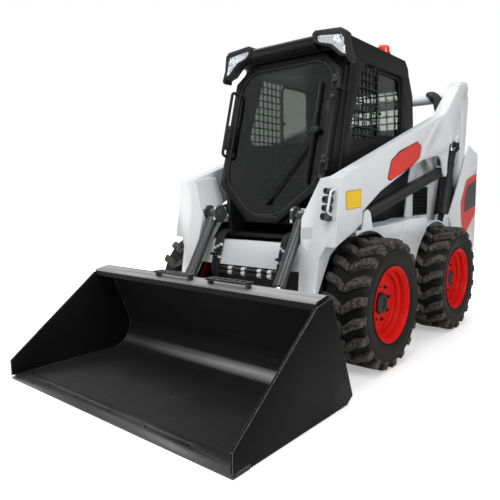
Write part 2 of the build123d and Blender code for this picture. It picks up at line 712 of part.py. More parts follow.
# the raised plate on the arm's outer face, from the bracket up to the tower
DOUBLER = [
    (243, 1268), (254, 1349), (400, 1479), (490, 1545), (643, 1605), (900, 1820), (950, 1600),
    (860, 1500), (740, 1400), (700, 1343), (476, 1291),
]
DOUBLER_THICKNESS = 4.0
LEG_FRONT = [
    (504, 1150), (504, 1113), (401, 890), (430, 480), (430, 100), (545, 100), (545, 480),
    (548, 680), (600, 780), (ARM_OUT, 860), (ARM_OUT, 1150),
]
with BuildPart() as lift_arms:
    side_plate(ARM_OUTLINE, ARM_IN, ARM_OUT)
    # towers and brackets: two plates with room for the links between them
    for x_from, bracket in ((ARM_IN, BRACKET), (ARM_OUT - PLATE, TONGUE)):
        side_plate(bracket, x_from, x_from + PLATE)
        cross_bar(PIN_C, 36, x_from, x_from + PLATE)
        side_plate(
            [(905, 1850), (1060, 1904), (1112, 1880), (1100, 1820), (975, 1750)], x_from,
            x_from + PLATE,
        )
        cross_bar(PIN_A, 46, x_from, x_from + PLATE)
        side_plate(
            [(795, 1438), (905, 1412), (965, 1440), (962, 1620), (880, 1560)], x_from,
            x_from + PLATE,
        )
        cross_bar(PIN_F, 40, x_from, x_from + PLATE)
    # room for the rear link and the lift cylinder's eye inside the tower
    side_plate(
        [(860, 1380), (860, 1560), (975, 1640), (1012, 1760), (1012, 1930), (1130, 1930),
         (1130, 1380)],
        ARM_IN + PLATE, ARM_OUT - PLATE, Mode.SUBTRACT,
    )
    cross_bar(PIN_C, 16, ARM_IN, ARM_OUT)
    cross_bar(PIN_A, 22, ARM_IN, ARM_OUT)
    for x_from in (ARM_IN - 6, ARM_OUT - PLATE):
        cross_bar(PIN_F, 24, x_from, x_from + PLATE + 6)
    side_plate(DOUBLER, ARM_OUT, ARM_OUT + DOUBLER_THICKNESS)
    cross_bar((480, 1414), 50, ARM_OUT, ARM_OUT + DOUBLER_THICKNESS + 1, Mode.SUBTRACT)
    cross_bar((765, 1422), 26, ARM_OUT, ARM_OUT + BOSS_STAND)
    # front plates of the elbow and the leg: a box that tapers both ways
    with BuildSketch(SIDE.offset(400)) as leg_side:
        with BuildLine():
            Polyline(*LEG_SIDE, close=True)
        make_face()
    with BuildSketch(FRONT.offset(600)) as leg_front:
        with BuildLine():
            Polyline(*LEG_FRONT, close=True)
        make_face()
    leg_box = extrude(leg_side.sketch, amount=260, mode=Mode.PRIVATE)
    leg_box = leg_box & extrude(leg_front.sketch, amount=600, mode=Mode.PRIVATE)
    add(leg_box)
    cross_bar(PIN_P, 46, TUB_HALF, ARM_IN)
    cross_bar(PIN_P, 24, TUB_HALF - 24, ARM_IN + 24)
    # ears of the tilt cylinder, inboard of the leg
    for x_from in (TILT_X - 54, TILT_X + 40):
        side_plate([(-860, 860), (-850, 940), (-765, 940), (-765, 860)], x_from, x_from + 14)
    block((TILT_X - 54, 440), (-766, -756), (850, 940))
    cross_bar(PIN_G, TILT_PIN, TILT_X - 54, TILT_X + 54)
    mirror(about=Plane.YZ)
    # cross members that tie both arms
    cross_bar((905, 1770), 38, -ARM_IN, ARM_IN)
    side_plate([(-838, 735), (-885, 584), (-840, 584), (-790, 735)], -440, 440)
finish(lift_arms, "lift_arms")


def leg_face(z):
    """Where the front face of the elbow is at height z."""
    return -835 - (1110 - z) * 40 / 220


with BuildPart() as aux_couplers:
    for row in range(4):
        z_mid = 900 + row * 45
        with Locations((585, AXLE_MID + leg_face(z_mid) - 36, z_mid)):
            Cylinder(17, 56, rotation=(90, 0, 0))
    side_plate(
        [(leg_face(893), 893), (leg_face(893) - 18, 890), (leg_face(1066) - 18, 1063),
         (leg_face(1066), 1066)],
        560, 634,
    )
    # guard loop beside the couplers, as points of (across, up, forward)
    face_tube(
        [(606, 1050, 852), (622, 1040, 915), (618, 930, 945), (600, 910, 877)], [24, 24], 8, FRONT
    )
finish(aux_couplers, "aux_couplers")

# ---------------------------------------------------------------- links
LINK_DEPTH = 34.0
with BuildPart() as control_links:
    x_low, x_high = LINK_MID - LINK_HALF, LINK_MID + LINK_HALF
    dy, dz = PIN_C[0] - PIN_D[0], PIN_C[1] - PIN_D[1]
    span = (dy * dy + dz * dz) ** 0.5
    off_y, off_z = -dz / span * LINK_DEPTH, dy / span * LINK_DEPTH
    side_plate(
        [
            (PIN_D[0] + off_y, PIN_D[1] + off_z), (PIN_C[0] + off_y, PIN_C[1] + off_z),
            (PIN_C[0] - off_y, PIN_C[1] - off_z), (PIN_D[0] - off_y, PIN_D[1] - off_z),
        ],
        x_low, x_high,
    )
    cross_bar(PIN_D, LINK_DEPTH, x_low, x_high)
    cross_bar(PIN_C, LINK_DEPTH, x_low, x_high)
    cross_bar(PIN_D, 17 + FIT, x_low, x_high, Mode.SUBTRACT)
    cross_bar(PIN_C, 16 + FIT, x_low, x_high, Mode.SUBTRACT)
    mirror(about=Plane.YZ)
finish(control_links, "control_links")

with BuildPart() as rear_links:
    x_low, x_high = ARM_IN + PLATE + SIDE_GAP, ARM_OUT - PLATE - SIDE_GAP
    side_plate(
        [(1042, 1885), (1090, 1905), (1165, 1850), (1192, 1766), (1152, 1413), (1145, 1090),
         (1060, 1080), (1020, 1386), (1035, 1760)],
        x_low, x_high,
    )
    cross_bar(PIN_B, 48, x_low, x_high)
    cross_bar((1139, 1806), 27, x_low, x_high, Mode.SUBTRACT)
    cross_bar(PIN_A, 22 + FIT, x_low, x_high, Mode.SUBTRACT)
    mirror(about=Plane.YZ)
finish(rear_links, "rear_links")

# ---------------------------------------------------------------- cylinders
LIFT_BORE = 40.0
LIFT_ROD = 22.0
LIFT_SPLIT = 520.0  # barrel length from pin E to the gland
with BuildPart() as lift_barrels:
    strut(toward(PIN_E, PIN_F, 40), toward(PIN_E, PIN_F, LIFT_SPLIT), LIFT_BORE, LINK_MID)
    strut(PIN_E, toward(PIN_E, PIN_F, 42), 20, LINK_MID)
    cross_bar(PIN_E, 36, LINK_MID - 21, LINK_MID + 21)
    strut(toward(PIN_E, PIN_F, 60), toward(PIN_E, PIN_F, LIFT_SPLIT + 30), LIFT_BORE - 6, LINK_MID)
    base = Plane(
        origin=(LINK_MID, AXLE_MID + PIN_E[0], PIN_E[1]),
        x_dir=(1, 0, 0),
        z_dir=(0, PIN_F[0] - PIN_E[0], PIN_F[1] - PIN_E[1]),
    )
    with BuildSketch(base.offset(90)) as bore:
        Circle(LIFT_ROD + 0.5)
    extrude(bore.sketch, amount=LIFT_SPLIT, mode=Mode.SUBTRACT)
    cross_bar(PIN_E, 16 + FIT, LINK_MID - 25, LINK_MID + 25, Mode.SUBTRACT)
    mirror(about=Plane.YZ)
finish(lift_barrels, "lift_barrels")

with BuildPart() as lift_rods:
    strut(toward(PIN_E, PIN_F, 100), toward(PIN_F, PIN_E, 30), LIFT_ROD, LINK_MID)
    cross_bar(PIN_F, 36, LINK_MID - 21, LINK_MID + 21)
    cross_bar(PIN_F, 16, ARM_IN + PLATE + FIT / 2, ARM_OUT - PLATE - FIT / 2)
    mirror(about=Plane.YZ)
finish(lift_rods, "lift_rods")

TILT_BORE = 34.0
TILT_ROD = 19.0
TILT_SPLIT = 440.0
with BuildPart() as tilt_barrels:
    strut(toward(PIN_G, PIN_Q, 36), toward(PIN_G, PIN_Q, TILT_SPLIT), TILT_BORE, TILT_X)
    strut(PIN_G, toward(PIN_G, PIN_Q, 40), 20, TILT_X)
    cross_bar(PIN_G, 34, TILT_X - 22, TILT_X + 22)
    base = Plane(
        origin=(TILT_X, AXLE_MID + PIN_G[0], PIN_G[1]),
        x_dir=(1, 0, 0),
        z_dir=(0, PIN_Q[0] - PIN_G[0], PIN_Q[1] - PIN_G[1]),
    )
    with BuildSketch(base.offset(70)) as bore:
        Circle(TILT_ROD + 0.5)
    extrude(bore.sketch, amount=TILT_SPLIT, mode=Mode.SUBTRACT)
    cross_bar(PIN_G, TILT_PIN + FIT, TILT_X - 25, TILT_X + 25, Mode.SUBTRACT)
    mirror(about=Plane.YZ)
finish(tilt_barrels, "tilt_barrels")

with BuildPart() as tilt_rods:
    strut(toward(PIN_G, PIN_Q, 150), toward(PIN_Q, PIN_G, 24), TILT_ROD, TILT_X)
    cross_bar(PIN_Q, 30, TILT_X - 20, TILT_X + 20)
    cross_bar(PIN_Q, 16, TILT_X - EYE_ROOM + FIT / 2, TILT_X + EYE_ROOM - FIT / 2)
    mirror(about=Plane.YZ)
finish(tilt_rods, "tilt_rods")

# ---------------------------------------------------------------- bucket
LEAN = radians(BUCKET_LEAN)
EDGE_BACK = -FRONT_END + EDGE_DEPTH
FLOOR_LOW = 4.0
CURVE_Y = -1304.0
CURVE_Z = FLOOR_LOW + BUCKET_WALL + BUCKET_CURVE
BACK_TOP = 560.0
CHEEK_HEEL = -1136.0


def back_point(z, outset):
    """A point of the bucket's leaning back, this far outside its inner face."""
    start_y = CURVE_Y + (BUCKET_CURVE + outset) * cos(LEAN)
    start_z = CURVE_Z + (BUCKET_CURVE + outset) * sin(LEAN)
    return (start_y - (z - start_z) * sin(LEAN) / cos(LEAN), z)


def tangent_point(outset):
    """Where the round heel runs into the back."""
    radius = BUCKET_CURVE + outset
    return (CURVE_Y + radius * cos(LEAN), CURVE_Z + radius * sin(LEAN))


def heel_middle(outset):
    """The middle of the round heel."""
    turn = radians((BUCKET_LEAN - 90) / 2)
    radius = BUCKET_CURVE + outset
    return (CURVE_Y + radius * cos(turn), CURVE_Z + radius * sin(turn))


with BuildPart() as bucket_shell:
    with BuildSketch(SIDE.offset(-BUCKET_HALF + BUCKET_WALL)) as wrap:
        with BuildLine():
            inner_low = CURVE_Z - BUCKET_CURVE
            inner_floor = Line((EDGE_BACK, inner_low), (CURVE_Y, inner_low))
            inner_heel = ThreePointArc(inner_floor @ 1, heel_middle(0), tangent_point(0))
            inner_back = Line(inner_heel @ 1, back_point(BACK_TOP, 0))
            top = Line(inner_back @ 1, back_point(BACK_TOP, BUCKET_WALL))
            outer_back = Line(top @ 1, tangent_point(BUCKET_WALL))
            outer_heel = ThreePointArc(
                outer_back @ 1, heel_middle(BUCKET_WALL), (CURVE_Y, FLOOR_LOW)
            )
            outer_floor = Line(outer_heel @ 1, (EDGE_BACK, FLOOR_LOW))
            Line(outer_floor @ 1, inner_floor @ 0)
        make_face()
    extrude(wrap.sketch, amount=2 * (BUCKET_HALF - BUCKET_WALL))
    for x_from in (-BUCKET_HALF, BUCKET_HALF - BUCKET_WALL):
        # a cheek keeps a nearly square corner outside the round heel
        side_plate(
            [
                (EDGE_BACK, FLOOR_LOW), (CHEEK_HEEL, FLOOR_LOW), back_point(36, BUCKET_WALL),
                back_point(BACK_TOP, BUCKET_WALL), (-1395, 540), (-FRONT_END, 106),
                (-FRONT_END, EDGE_THICKNESS), (EDGE_BACK, EDGE_THICKNESS),
            ],
            x_from, x_from + BUCKET_WALL,
        )
    # top lip folded forward over the back
    side_plate(
        [back_point(BACK_TOP, BUCKET_WALL), back_point(BACK_TOP, 0), (-1385, 548), (-1385, 560),
         (-1300, 576)],
        -BUCKET_HALF + BUCKET_WALL, BUCKET_HALF - BUCKET_WALL,
    )
finish(bucket_shell, "bucket_shell")

with BuildPart() as cutting_edge:
    side_plate(
        [(-FRONT_END, 0), (-FRONT_END, 5), (-FRONT_END + 30, EDGE_THICKNESS),
         (EDGE_BACK, EDGE_THICKNESS), (EDGE_BACK, 0)],
        -BUCKET_HALF, BUCKET_HALF,
    )
    for hole in range(5):
        hole_x = (hole - 2) * EDGE_HOLE_PITCH
        with Locations((hole_x, AXLE_MID - FRONT_END + 57, EDGE_THICKNESS / 2)):
            Cylinder(EDGE_HOLE_RADIUS, 3 * EDGE_THICKNESS, mode=Mode.SUBTRACT)
finish(cutting_edge, "cutting_edge")

STEP_HALF = 138.0
STEP_TOP = 602.0
with BuildPart() as bucket_steps:
    for step_x in (-119, 301):
        block((step_x - STEP_HALF, step_x + STEP_HALF), (-1395, -1335), (STEP_TOP - 12, STEP_TOP))
        for leg_x in (step_x - STEP_HALF, step_x + STEP_HALF - 12):
            block((leg_x, leg_x + 12), (-1380, -1345), (568, STEP_TOP - 12))
        # open tread
        for slot in range(6):
            slot_x = step_x - STEP_HALF + 22 + slot * 40
            block((slot_x, slot_x + 28), (-1381, -1347), (STEP_TOP - 13, STEP_TOP + 1), Mode.SUBTRACT)
    side_plate(
        [(-1385, 560), (-1300, 576), (-1300, STEP_TOP), (-1395, STEP_TOP)], -400, 500,
        Mode.INTERSECT,
    )
finish(bucket_steps, "bucket_steps")

COUPLER_HALF = 572.0
COUPLER_GAP = 0.3
with BuildPart() as tool_coupler:
    side_plate(
        [back_point(230, BUCKET_WALL + COUPLER_GAP), back_point(470, BUCKET_WALL + COUPLER_GAP),
         back_point(470, BUCKET_WALL + 26), back_point(230, BUCKET_WALL + 26)],
        -COUPLER_HALF, COUPLER_HALF,
    )
    for x_from in (TUB_HALF - 24, ARM_IN + 8):
        side_plate(
            [back_point(430, BUCKET_WALL + 20), back_point(230, BUCKET_WALL + 20),
             (PIN_P[0] - 30, PIN_P[1] - 45), (PIN_P[0] + 45, PIN_P[1] - 20),
             (PIN_P[0] + 45, PIN_P[1] + 30)],
            x_from, x_from + 16,
        )
        cross_bar(PIN_P, 52, x_from, x_from + 16)
        cross_bar(PIN_P, 24 + FIT, x_from - 1, x_from + 17, Mode.SUBTRACT)
    # opening for the tilt cylinder's eye, with a cheek on each side
    for eye_x in (-TILT_X, TILT_X):
        block((eye_x - EYE_ROOM, eye_x + EYE_ROOM), (-1300, -1080), (260, 480), Mode.SUBTRACT)
    for x_from in (TILT_X - EYE_ROOM - 14, TILT_X + EYE_ROOM):
        side_plate(
            [back_point(460, BUCKET_WALL + 20), back_point(300, BUCKET_WALL + 20),
             (PIN_Q[0] + 25, PIN_Q[1] - 40), (PIN_Q[0] + 35, PIN_Q[1] + 25),
             (PIN_Q[0] - 5, PIN_Q[1] + 50)],
            x_from, x_from + 14,
        )
    mirror(about=Plane.YZ)
finish(tool_coupler, "tool_coupler")

# ---------------------------------------------------------------- wheels
# name, side (+1 is the operator's left), axle position
WHEELS = [
    ("front_left", 1, -WHEELBASE / 2),
    ("front_right", -1, -WHEELBASE / 2),
    ("rear_left", 1, WHEELBASE / 2),
    ("rear_right", -1, WHEELBASE / 2),
]
HALF_TYRE = TYRE_WIDTH / 2
HALF_RIM = RIM_WIDTH / 2
BEAD = HALF_RIM - 14
CASING = TYRE_RADIUS - LUG_HEIGHT
SHOULDER = CASING - 12
SHOULDER_WIDTH = 26.0
WALL_LOW = 285.0  # below this radius the side wall runs inwards to the bead
FLATS = 2 * LUGS  # flat faces round a tyre's casing
FLAT_GROWTH = 1 / cos(radians(180 / FLATS))  # from a flat's middle to its ends
LUG_LAG = LUG_SWEEP * TYRE_RADIUS / 2
LUG_TIP = LUG_LAG + LUG_WIDTH / 2  # the lug's furthest point from its middle, round the tyre
LUG_TOP = (TYRE_RADIUS**2 - LUG_TIP**2) ** 0.5  # flat top, with its furthest corner on the radius


def casing_ring(x_from, x_to, radius_from, radius_to, mode=Mode.ADD):
    """A flat-sided ring or hole between two planes across the axle."""
    with BuildSketch(Plane.YZ.offset(x_from)) as start:
        RegularPolygon(radius_from * FLAT_GROWTH, FLATS)
    with BuildSketch(Plane.YZ.offset(x_to)) as end:
        RegularPolygon(radius_to * FLAT_GROWTH, FLATS)
    loft([start.sketch, end.sketch], ruled=True, mode=mode)


def lug_outline(side):
    """One lug as (along the axle, round the tyre): its shoulder end trails its middle end."""
    half = LUG_WIDTH / 2
    return [
        (side * 4, LUG_TIP), (side * 0.55 * HALF_TYRE, half - 0.4 * LUG_LAG),
        (side * HALF_TYRE, 0.8 * half - LUG_LAG), (side * HALF_TYRE, -0.8 * half - LUG_LAG),
        (side * 0.5 * HALF_TYRE, -0.8 * half - 0.4 * LUG_LAG), (side * 4, LUG_LAG - 0.6 * half),
    ]


with BuildPart() as lug_pair:
    for side in (-1, 1):
        with BuildSketch(Plane.XY.offset(-LUG_TOP)):
            with BuildLine():
                Polyline(*lug_outline(side), close=True)
            make_face()
    extrude(amount=LUG_TOP - SHOULDER + 10)

with BuildPart() as tyre_form:
    casing_ring(SHOULDER_WIDTH - HALF_TYRE, HALF_TYRE - SHOULDER_WIDTH, CASING, CASING)
    for side in (-1, 1):
        casing_ring(side * (HALF_TYRE - SHOULDER_WIDTH), side * HALF_TYRE, CASING, SHOULDER)
    lug_turn = degrees(atan(LUG_TIP / LUG_TOP))  # brings a lug's furthest corner straight down
    add([
        lug_pair.part.rotate(Axis.X, number * 360 / LUGS - lug_turn) for number in range(LUGS)
    ])
    for side in (-1, 1):
        casing_ring(side * BEAD, side * HALF_TYRE, RIM_FLANGE + 3, WALL_LOW, Mode.SUBTRACT)
    casing_ring(-BEAD - 1, BEAD + 1, RIM_RADIUS, RIM_RADIUS, Mode.SUBTRACT)
for wheel_name, side, wheel_y in WHEELS:
    centre = (side * WHEEL_X, AXLE_MID + wheel_y, TYRE_RADIUS)
    section = Plane(origin=centre, x_dir=(side, 0, 0), z_dir=(0, -side, 0))
    spin = Axis(centre, (1, 0, 0))
    with BuildPart() as tyre:
        add(tyre_form.part.moved(Location(centre)))
    finish(tyre, f"tyre_{wheel_name}")

    with BuildPart() as rim:
        with BuildSketch(section) as dish:
            with BuildLine():
                Polyline(
                    (-HALF_RIM, RIM_FLANGE), (-HALF_RIM, 198), (DISC_OFFSET, 190),
                    (DISC_OFFSET, 0), (DISC_FACE, 0), (DISC_FACE, 182), (HALF_RIM, 198),
                    (HALF_RIM, RIM_FLANGE), (BEAD, RIM_FLANGE), (BEAD, RIM_RADIUS),
                    (-BEAD, RIM_RADIUS), (-BEAD, RIM_FLANGE), close=True,
                )
            make_face()
        revolve(dish.sketch, axis=spin)
        hub_start = HOUSING_END + 4 - WHEEL_X
        with BuildSketch(section) as hub:
            with BuildLine():
                Polyline(
                    (hub_start - 4 - SHAFT_DEPTH, 0), (hub_start - 4 - SHAFT_DEPTH, SHAFT),
                    (hub_start, SHAFT), (hub_start, 50), (DISC_OFFSET - 20, 50),
                    (DISC_OFFSET - 20, 105),
                    (DISC_OFFSET, 105), (DISC_FACE, HUB_RADIUS),
                    (DISC_FACE + HUB_STAND - 5, HUB_RADIUS), (DISC_FACE + HUB_STAND, HUB_RADIUS - 9),
                    (DISC_FACE + HUB_STAND, 0), close=True,
                )
            make_face()
        revolve(hub.sketch, axis=spin)
    finish(rim, f"rim_{wheel_name}")
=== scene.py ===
"""Finished look of a compact skid steer loader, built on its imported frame."""

import json
from math import cos, pi, radians, sin

import bmesh
import bpy
import numpy as np
from bpy.props import FloatProperty, FloatVectorProperty, IntProperty, PointerProperty
from mathutils import Matrix, Vector

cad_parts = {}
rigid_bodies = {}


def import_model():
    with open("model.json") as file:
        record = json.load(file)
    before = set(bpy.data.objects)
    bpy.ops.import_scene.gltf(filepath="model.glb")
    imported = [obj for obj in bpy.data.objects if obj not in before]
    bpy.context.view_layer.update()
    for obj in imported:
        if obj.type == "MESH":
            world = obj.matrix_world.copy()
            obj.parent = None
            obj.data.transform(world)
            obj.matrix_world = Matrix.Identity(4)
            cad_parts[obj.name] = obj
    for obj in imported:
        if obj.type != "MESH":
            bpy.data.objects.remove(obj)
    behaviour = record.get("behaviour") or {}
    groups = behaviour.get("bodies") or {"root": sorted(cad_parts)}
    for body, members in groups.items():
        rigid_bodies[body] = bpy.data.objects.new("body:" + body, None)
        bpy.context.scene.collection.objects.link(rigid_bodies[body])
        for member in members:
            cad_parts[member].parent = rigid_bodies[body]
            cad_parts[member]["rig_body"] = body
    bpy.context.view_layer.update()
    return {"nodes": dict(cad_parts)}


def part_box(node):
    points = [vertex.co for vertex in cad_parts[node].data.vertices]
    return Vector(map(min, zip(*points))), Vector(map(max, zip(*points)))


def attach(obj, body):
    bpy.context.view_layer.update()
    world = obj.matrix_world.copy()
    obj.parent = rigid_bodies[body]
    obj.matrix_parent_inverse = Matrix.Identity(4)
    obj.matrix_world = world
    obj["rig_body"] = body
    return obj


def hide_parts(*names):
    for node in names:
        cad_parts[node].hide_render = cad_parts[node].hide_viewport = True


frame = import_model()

bl_info = {
    "name": "Skid Steer Loader",
    "version": (1, 0, 0),
    "blender": (4, 5, 0),
    "location": "View3D > Sidebar > Loader",
    "description": "Builds the finished look of a compact skid steer loader",
    "category": "Object",
}

MM = 0.001
WHEELS = ("front_left", "front_right", "rear_left", "rear_right")


# ---------------- places
def middle(node):
    """Middle of a CAD node's box."""
    low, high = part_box(node)
    return (low + high) / 2


AXLE_MID = (middle("tyre_front_left").y + middle("tyre_rear_left").y) / 2
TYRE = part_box("tyre_front_left")[1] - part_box("tyre_front_left")[0]
TYRE_RADIUS = TYRE.z / 2
SIDE_FACE = 0.64  # outer face of the arms and uprights, from the middle
LUG_HEIGHT = 0.034


def side_points(points):
    """(y, z) points in millimetres from the axle mid-point, as metres in the frame."""
    return np.array(points, float) * MM + np.array([AXLE_MID, 0.0])


def at(points):
    """(x, y, z) points in millimetres from the axle mid-point, as metres in the frame."""
    return np.array(points, float) * MM + np.array([0.0, AXLE_MID, 0.0])


def spot(x, y, z):
    """One such point."""
    return at([(x, y, z)])[0]


DOOR_LEAN = 0.27  # how far the door's face leans back for each unit of height
DOOR_TOP, DOOR_TOP_Y = 1890, -470


def on_door(points):
    """(x, z, stand) points in millimetres, stand being how far before the door's face."""
    x, z, stand = np.array(points, float).T
    return at(np.stack([x, DOOR_TOP_Y - DOOR_LEAN * (DOOR_TOP - z) - stand, z], -1))


# ---------------- surfaces
# A surface is a pair: an array of points and a list of faces.
def grid_faces(rows, columns, wrap_rows=False, wrap_columns=False):
    """Quads of a grid of points, joined end to end where a direction wraps."""
    i = np.arange(rows if wrap_rows else rows - 1)
    j = np.arange(columns if wrap_columns else columns - 1)
    i, j = np.meshgrid(i, j, indexing="ij")
    after_i, after_j = (i + 1) % rows, (j + 1) % columns
    quads = np.stack(
        [i * columns + j, after_i * columns + j, after_i * columns + after_j,
         i * columns + after_j], -1)
    return quads.reshape(-1, 4).tolist()


def tube_faces(rows, columns, start=1):
    """Quads round a tube of rows, and a face over each end, the first in the start's order."""
    ends = [list(range(columns))[::start], [(rows - 1) * columns + k for k in range(columns)]]
    return grid_faces(rows, columns, False, True) + ends


def unit(vectors):
    """Vectors at length one."""
    return vectors / np.maximum(np.linalg.norm(vectors, axis=-1, keepdims=True), 1e-12)


def sweep(path, profile, up=(0, 0, 1), closed=False, scale=1.0):
    """A closed (u, v) profile carried along a path: each point is the path's point plus scale
    times u sideways plus v square to that and the path."""
    path, profile = np.array(path, float), np.array(profile, float)
    if closed:
        ahead = unit(np.roll(path, -1, 0) - np.roll(path, 1, 0))
    else:
        ahead = unit(np.gradient(path, axis=0))
    across = unit(np.cross(ahead, up))
    square = np.cross(across, ahead)
    points = path[:, None] + np.broadcast_to(scale, len(path))[:, None, None] * (
        profile[None, :, :1] * across[:, None] + profile[None, :, 1:] * square[:, None])
    counts = len(path), len(profile)
    return points.reshape(-1, 3), (grid_faces(*counts, True, True) if closed
                                   else tube_faces(*counts, -1))


def ring(radius, sides):
    """Points of a circle."""
    turn = np.linspace(0, 2 * pi, sides, endpoint=False)
    return np.stack([radius * np.cos(turn), radius * np.sin(turn)], -1)


def tube(path, radius, sides=12, up=(0, 0, 1), closed=False):
    """A round tube: a circle carried along a path."""
    return sweep(path, ring(radius, sides), up, closed)


def rounded(points, cuts=2):
    """Cuts the corners of a closed outline: at each cut every run keeps its middle half."""
    points = np.array(points, float)
    for _ in range(cuts):
        after = np.roll(points, -1, 0)
        points = np.stack([0.75 * points + 0.25 * after, 0.25 * points + 0.75 * after],
                          1).reshape(-1, 2)
    return points


def bent(points, radius, closed=False, steps=6):
    """A polyline with rounded corners: each becomes a parabola between the two points that
    lie radius before and after it on its runs."""
    points = np.array(points, float)
    start = points + radius * unit(np.roll(points, 1, 0) - points)
    end = points + radius * unit(np.roll(points, -1, 0) - points)
    t = np.linspace(0, 1, steps)[None, :, None]
    curves = ((1 - t) ** 2 * start[:, None] + 2 * t * (1 - t) * points[:, None]
              + t ** 2 * end[:, None])
    if closed:
        return curves.reshape(-1, points.shape[1])
    return np.concatenate([points[:1], curves[1:-1].reshape(-1, points.shape[1]), points[-1:]])


def lathe(profile, centre, axis=(1, 0, 0), sides=64):
    """An (along, radius) profile in millimetres turned round an axis through a centre: each
    point is the centre plus the distance along plus the radius times the turning direction."""
    profile = np.array(profile, float) * MM
    axis = np.array(axis, float)
    first = unit(np.cross(axis, [0.0, 0.0, 1.0] if abs(axis[2]) < 0.9 else [1.0, 0.0, 0.0]))
    second = np.cross(axis, first)
    turn = np.linspace(0, 2 * pi, sides, endpoint=False)
    outward = np.cos(turn)[:, None] * first + np.sin(turn)[:, None] * second
    points = (np.array(centre, float) + profile[None, :, :1] * axis
              + profile[None, :, 1:] * outward[:, None])
    return points.reshape(-1, 3), grid_faces(sides, len(profile), True, True)


def collar(start, end, inner, outer):
    """Profile of a plain band round an axis."""
    return [(start, inner), (start, outer), (end, outer), (end, inner)]


def plate(corners, stand):
    """A flat plate from its corner points, thickened by the stand vector."""
    face = np.array(corners, float)
    count = len(face)
    faces = [[k, (k + 1) % count, count + (k + 1) % count, count + k] for k in range(count)]
    faces += [list(range(count))[::-1], list(range(count, 2 * count))]
    return np.concatenate([face, face + np.array(stand, float)]), faces


def side_plate(outline, x, depth):
    """A plate square to the crosswise axis from (y, z) points in metres."""
    return plate(np.insert(outline, 0, x, 1), (depth, 0, 0))


def side_slab(outline, x_from, x_to):
    """A plate between two places across the machine from an outline in millimetres."""
    return side_plate(side_points(outline), x_from, x_to - x_from)


def bar(low, high):
    """A block between two corners."""
    low, high = np.minimum(low, high), np.maximum(low, high)
    x, y, z = high - low
    return plate(low + np.array([(0, 0, 0), (x, 0, 0), (x, y, 0), (0, y, 0)]), (0, 0, z))


def cushion(centre, half, across, upward, seams):
    """A stuffed pad: a squarish ring carried from one end to the other. At b from -1 to 1 its
    width shrinks with the tenth root of 1 - b^10 and its thickness with the fourth root of
    1 - b^4, so the sides pull in between the corners; each seam is a narrow dip in thickness."""
    seam_depth, seam_width, last = 0.12, 0.03, 0.9995
    across, upward = np.array(across, float), np.array(upward, float)
    b = np.sin(np.linspace(-pi / 2, pi / 2, 72)) * last
    wide = (1 - np.abs(b) ** 10) ** 0.1
    thick = (1 - np.abs(b) ** 4) ** 0.25
    for seam in seams:
        thick = thick * (1 - seam_depth * np.exp(-((b - seam) / seam_width) ** 2))
    u, v = ring(1.0, 40).T
    flat, crown = np.sign(u) * np.abs(u) ** 0.35, np.sign(v) * np.abs(v) ** 0.6
    points = (np.array(centre, float) + half[0] * b[:, None, None] * np.cross(across, upward)
              + half[1] * (wide[:, None] * flat)[..., None] * across
              + half[2] * (thick[:, None] * crown)[..., None] * upward)
    return points.reshape(-1, 3), tube_faces(len(b), len(u))


def joined(*surfaces):
    """Several surfaces as one."""
    points, faces, start = [], [], 0
    for part_points, part_faces in surfaces:
        points.append(part_points)
        faces += [[k + start for k in face] for face in part_faces]
        start += len(part_points)
    return np.concatenate(points), faces


def turned(surface, centre, angles):
    """Copies of a surface turned round the crosswise axis through a centre."""
    points, faces = surface
    y, z = (points - centre).T[1:]
    return joined(*[(np.stack([points[:, 0], centre[1] + cos(angle) * y - sin(angle) * z,
                               centre[2] + sin(angle) * y + cos(angle) * z], -1), faces)
                    for angle in angles])


def mirrored(surface):
    """The surface and its mirror image across the machine's middle."""
    points, faces = surface
    return joined(surface, (points * np.array([-1.0, 1.0, 1.0]), [face[::-1] for face in faces]))


# ---------------- pieces
def placed(name, data):
    """A new object in the scene."""
    item = bpy.data.objects.new(name, data)
    bpy.context.scene.collection.objects.link(item)
    return item


def finish_mesh(name, mesh, finish, node, instead=False, edge=0.0, smooth=35.0):
    """A piece from a mesh: its material, its rounded edges, and the body of the CAD node that it
    belongs to or, where instead is set, that it stands for."""
    mesh.shade_smooth()
    if not edge:
        mesh.set_sharp_from_angle(angle=radians(smooth))
    mesh.materials.clear()
    mesh.materials.append(FINISHES[finish])
    piece = placed(name, mesh)
    if edge:
        rounding = piece.modifiers.new("edges", "BEVEL")
        rounding.width = edge
        rounding.segments = 2
        rounding.limit_method = "ANGLE"
        rounding.angle_limit = radians(smooth)
        rounding.harden_normals = True
    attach(piece, frame["nodes"][node]["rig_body"])
    if instead:
        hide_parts(node)
    return piece


def make(name, surface, finish, node, **settings):
    """A new piece from a surface."""
    points, faces = surface
    mesh = bpy.data.meshes.new(name)
    mesh.from_pydata(points.tolist(), [], faces)
    shell = bmesh.new()
    shell.from_mesh(mesh)
    bmesh.ops.recalc_face_normals(shell, faces=shell.faces)
    shell.to_mesh(mesh)
    shell.free()
    return finish_mesh(name, mesh, finish, node, **settings)


def softened(node, finish, edge, worn=None):
    """A copy of a CAD node with its doubles merged, flat faces joined and edges rounded;
    worn is the finish of the rounded edges where it differs."""
    shell = bmesh.new()
    shell.from_mesh(frame["nodes"][node].data)
    bmesh.ops.remove_doubles(shell, verts=shell.verts, dist=2e-5)
    bmesh.ops.dissolve_limit(shell, angle_limit=radians(2), verts=shell.verts, edges=shell.edges)
    mesh = bpy.data.meshes.new(node + "_finished")
    shell.to_mesh(mesh)
    shell.free()
    piece = finish_mesh(node + "_finished", mesh, finish, node, True, edge)
    if worn:
        piece.data.materials.append(FINISHES[worn])
        piece.modifiers["edges"].material = 1


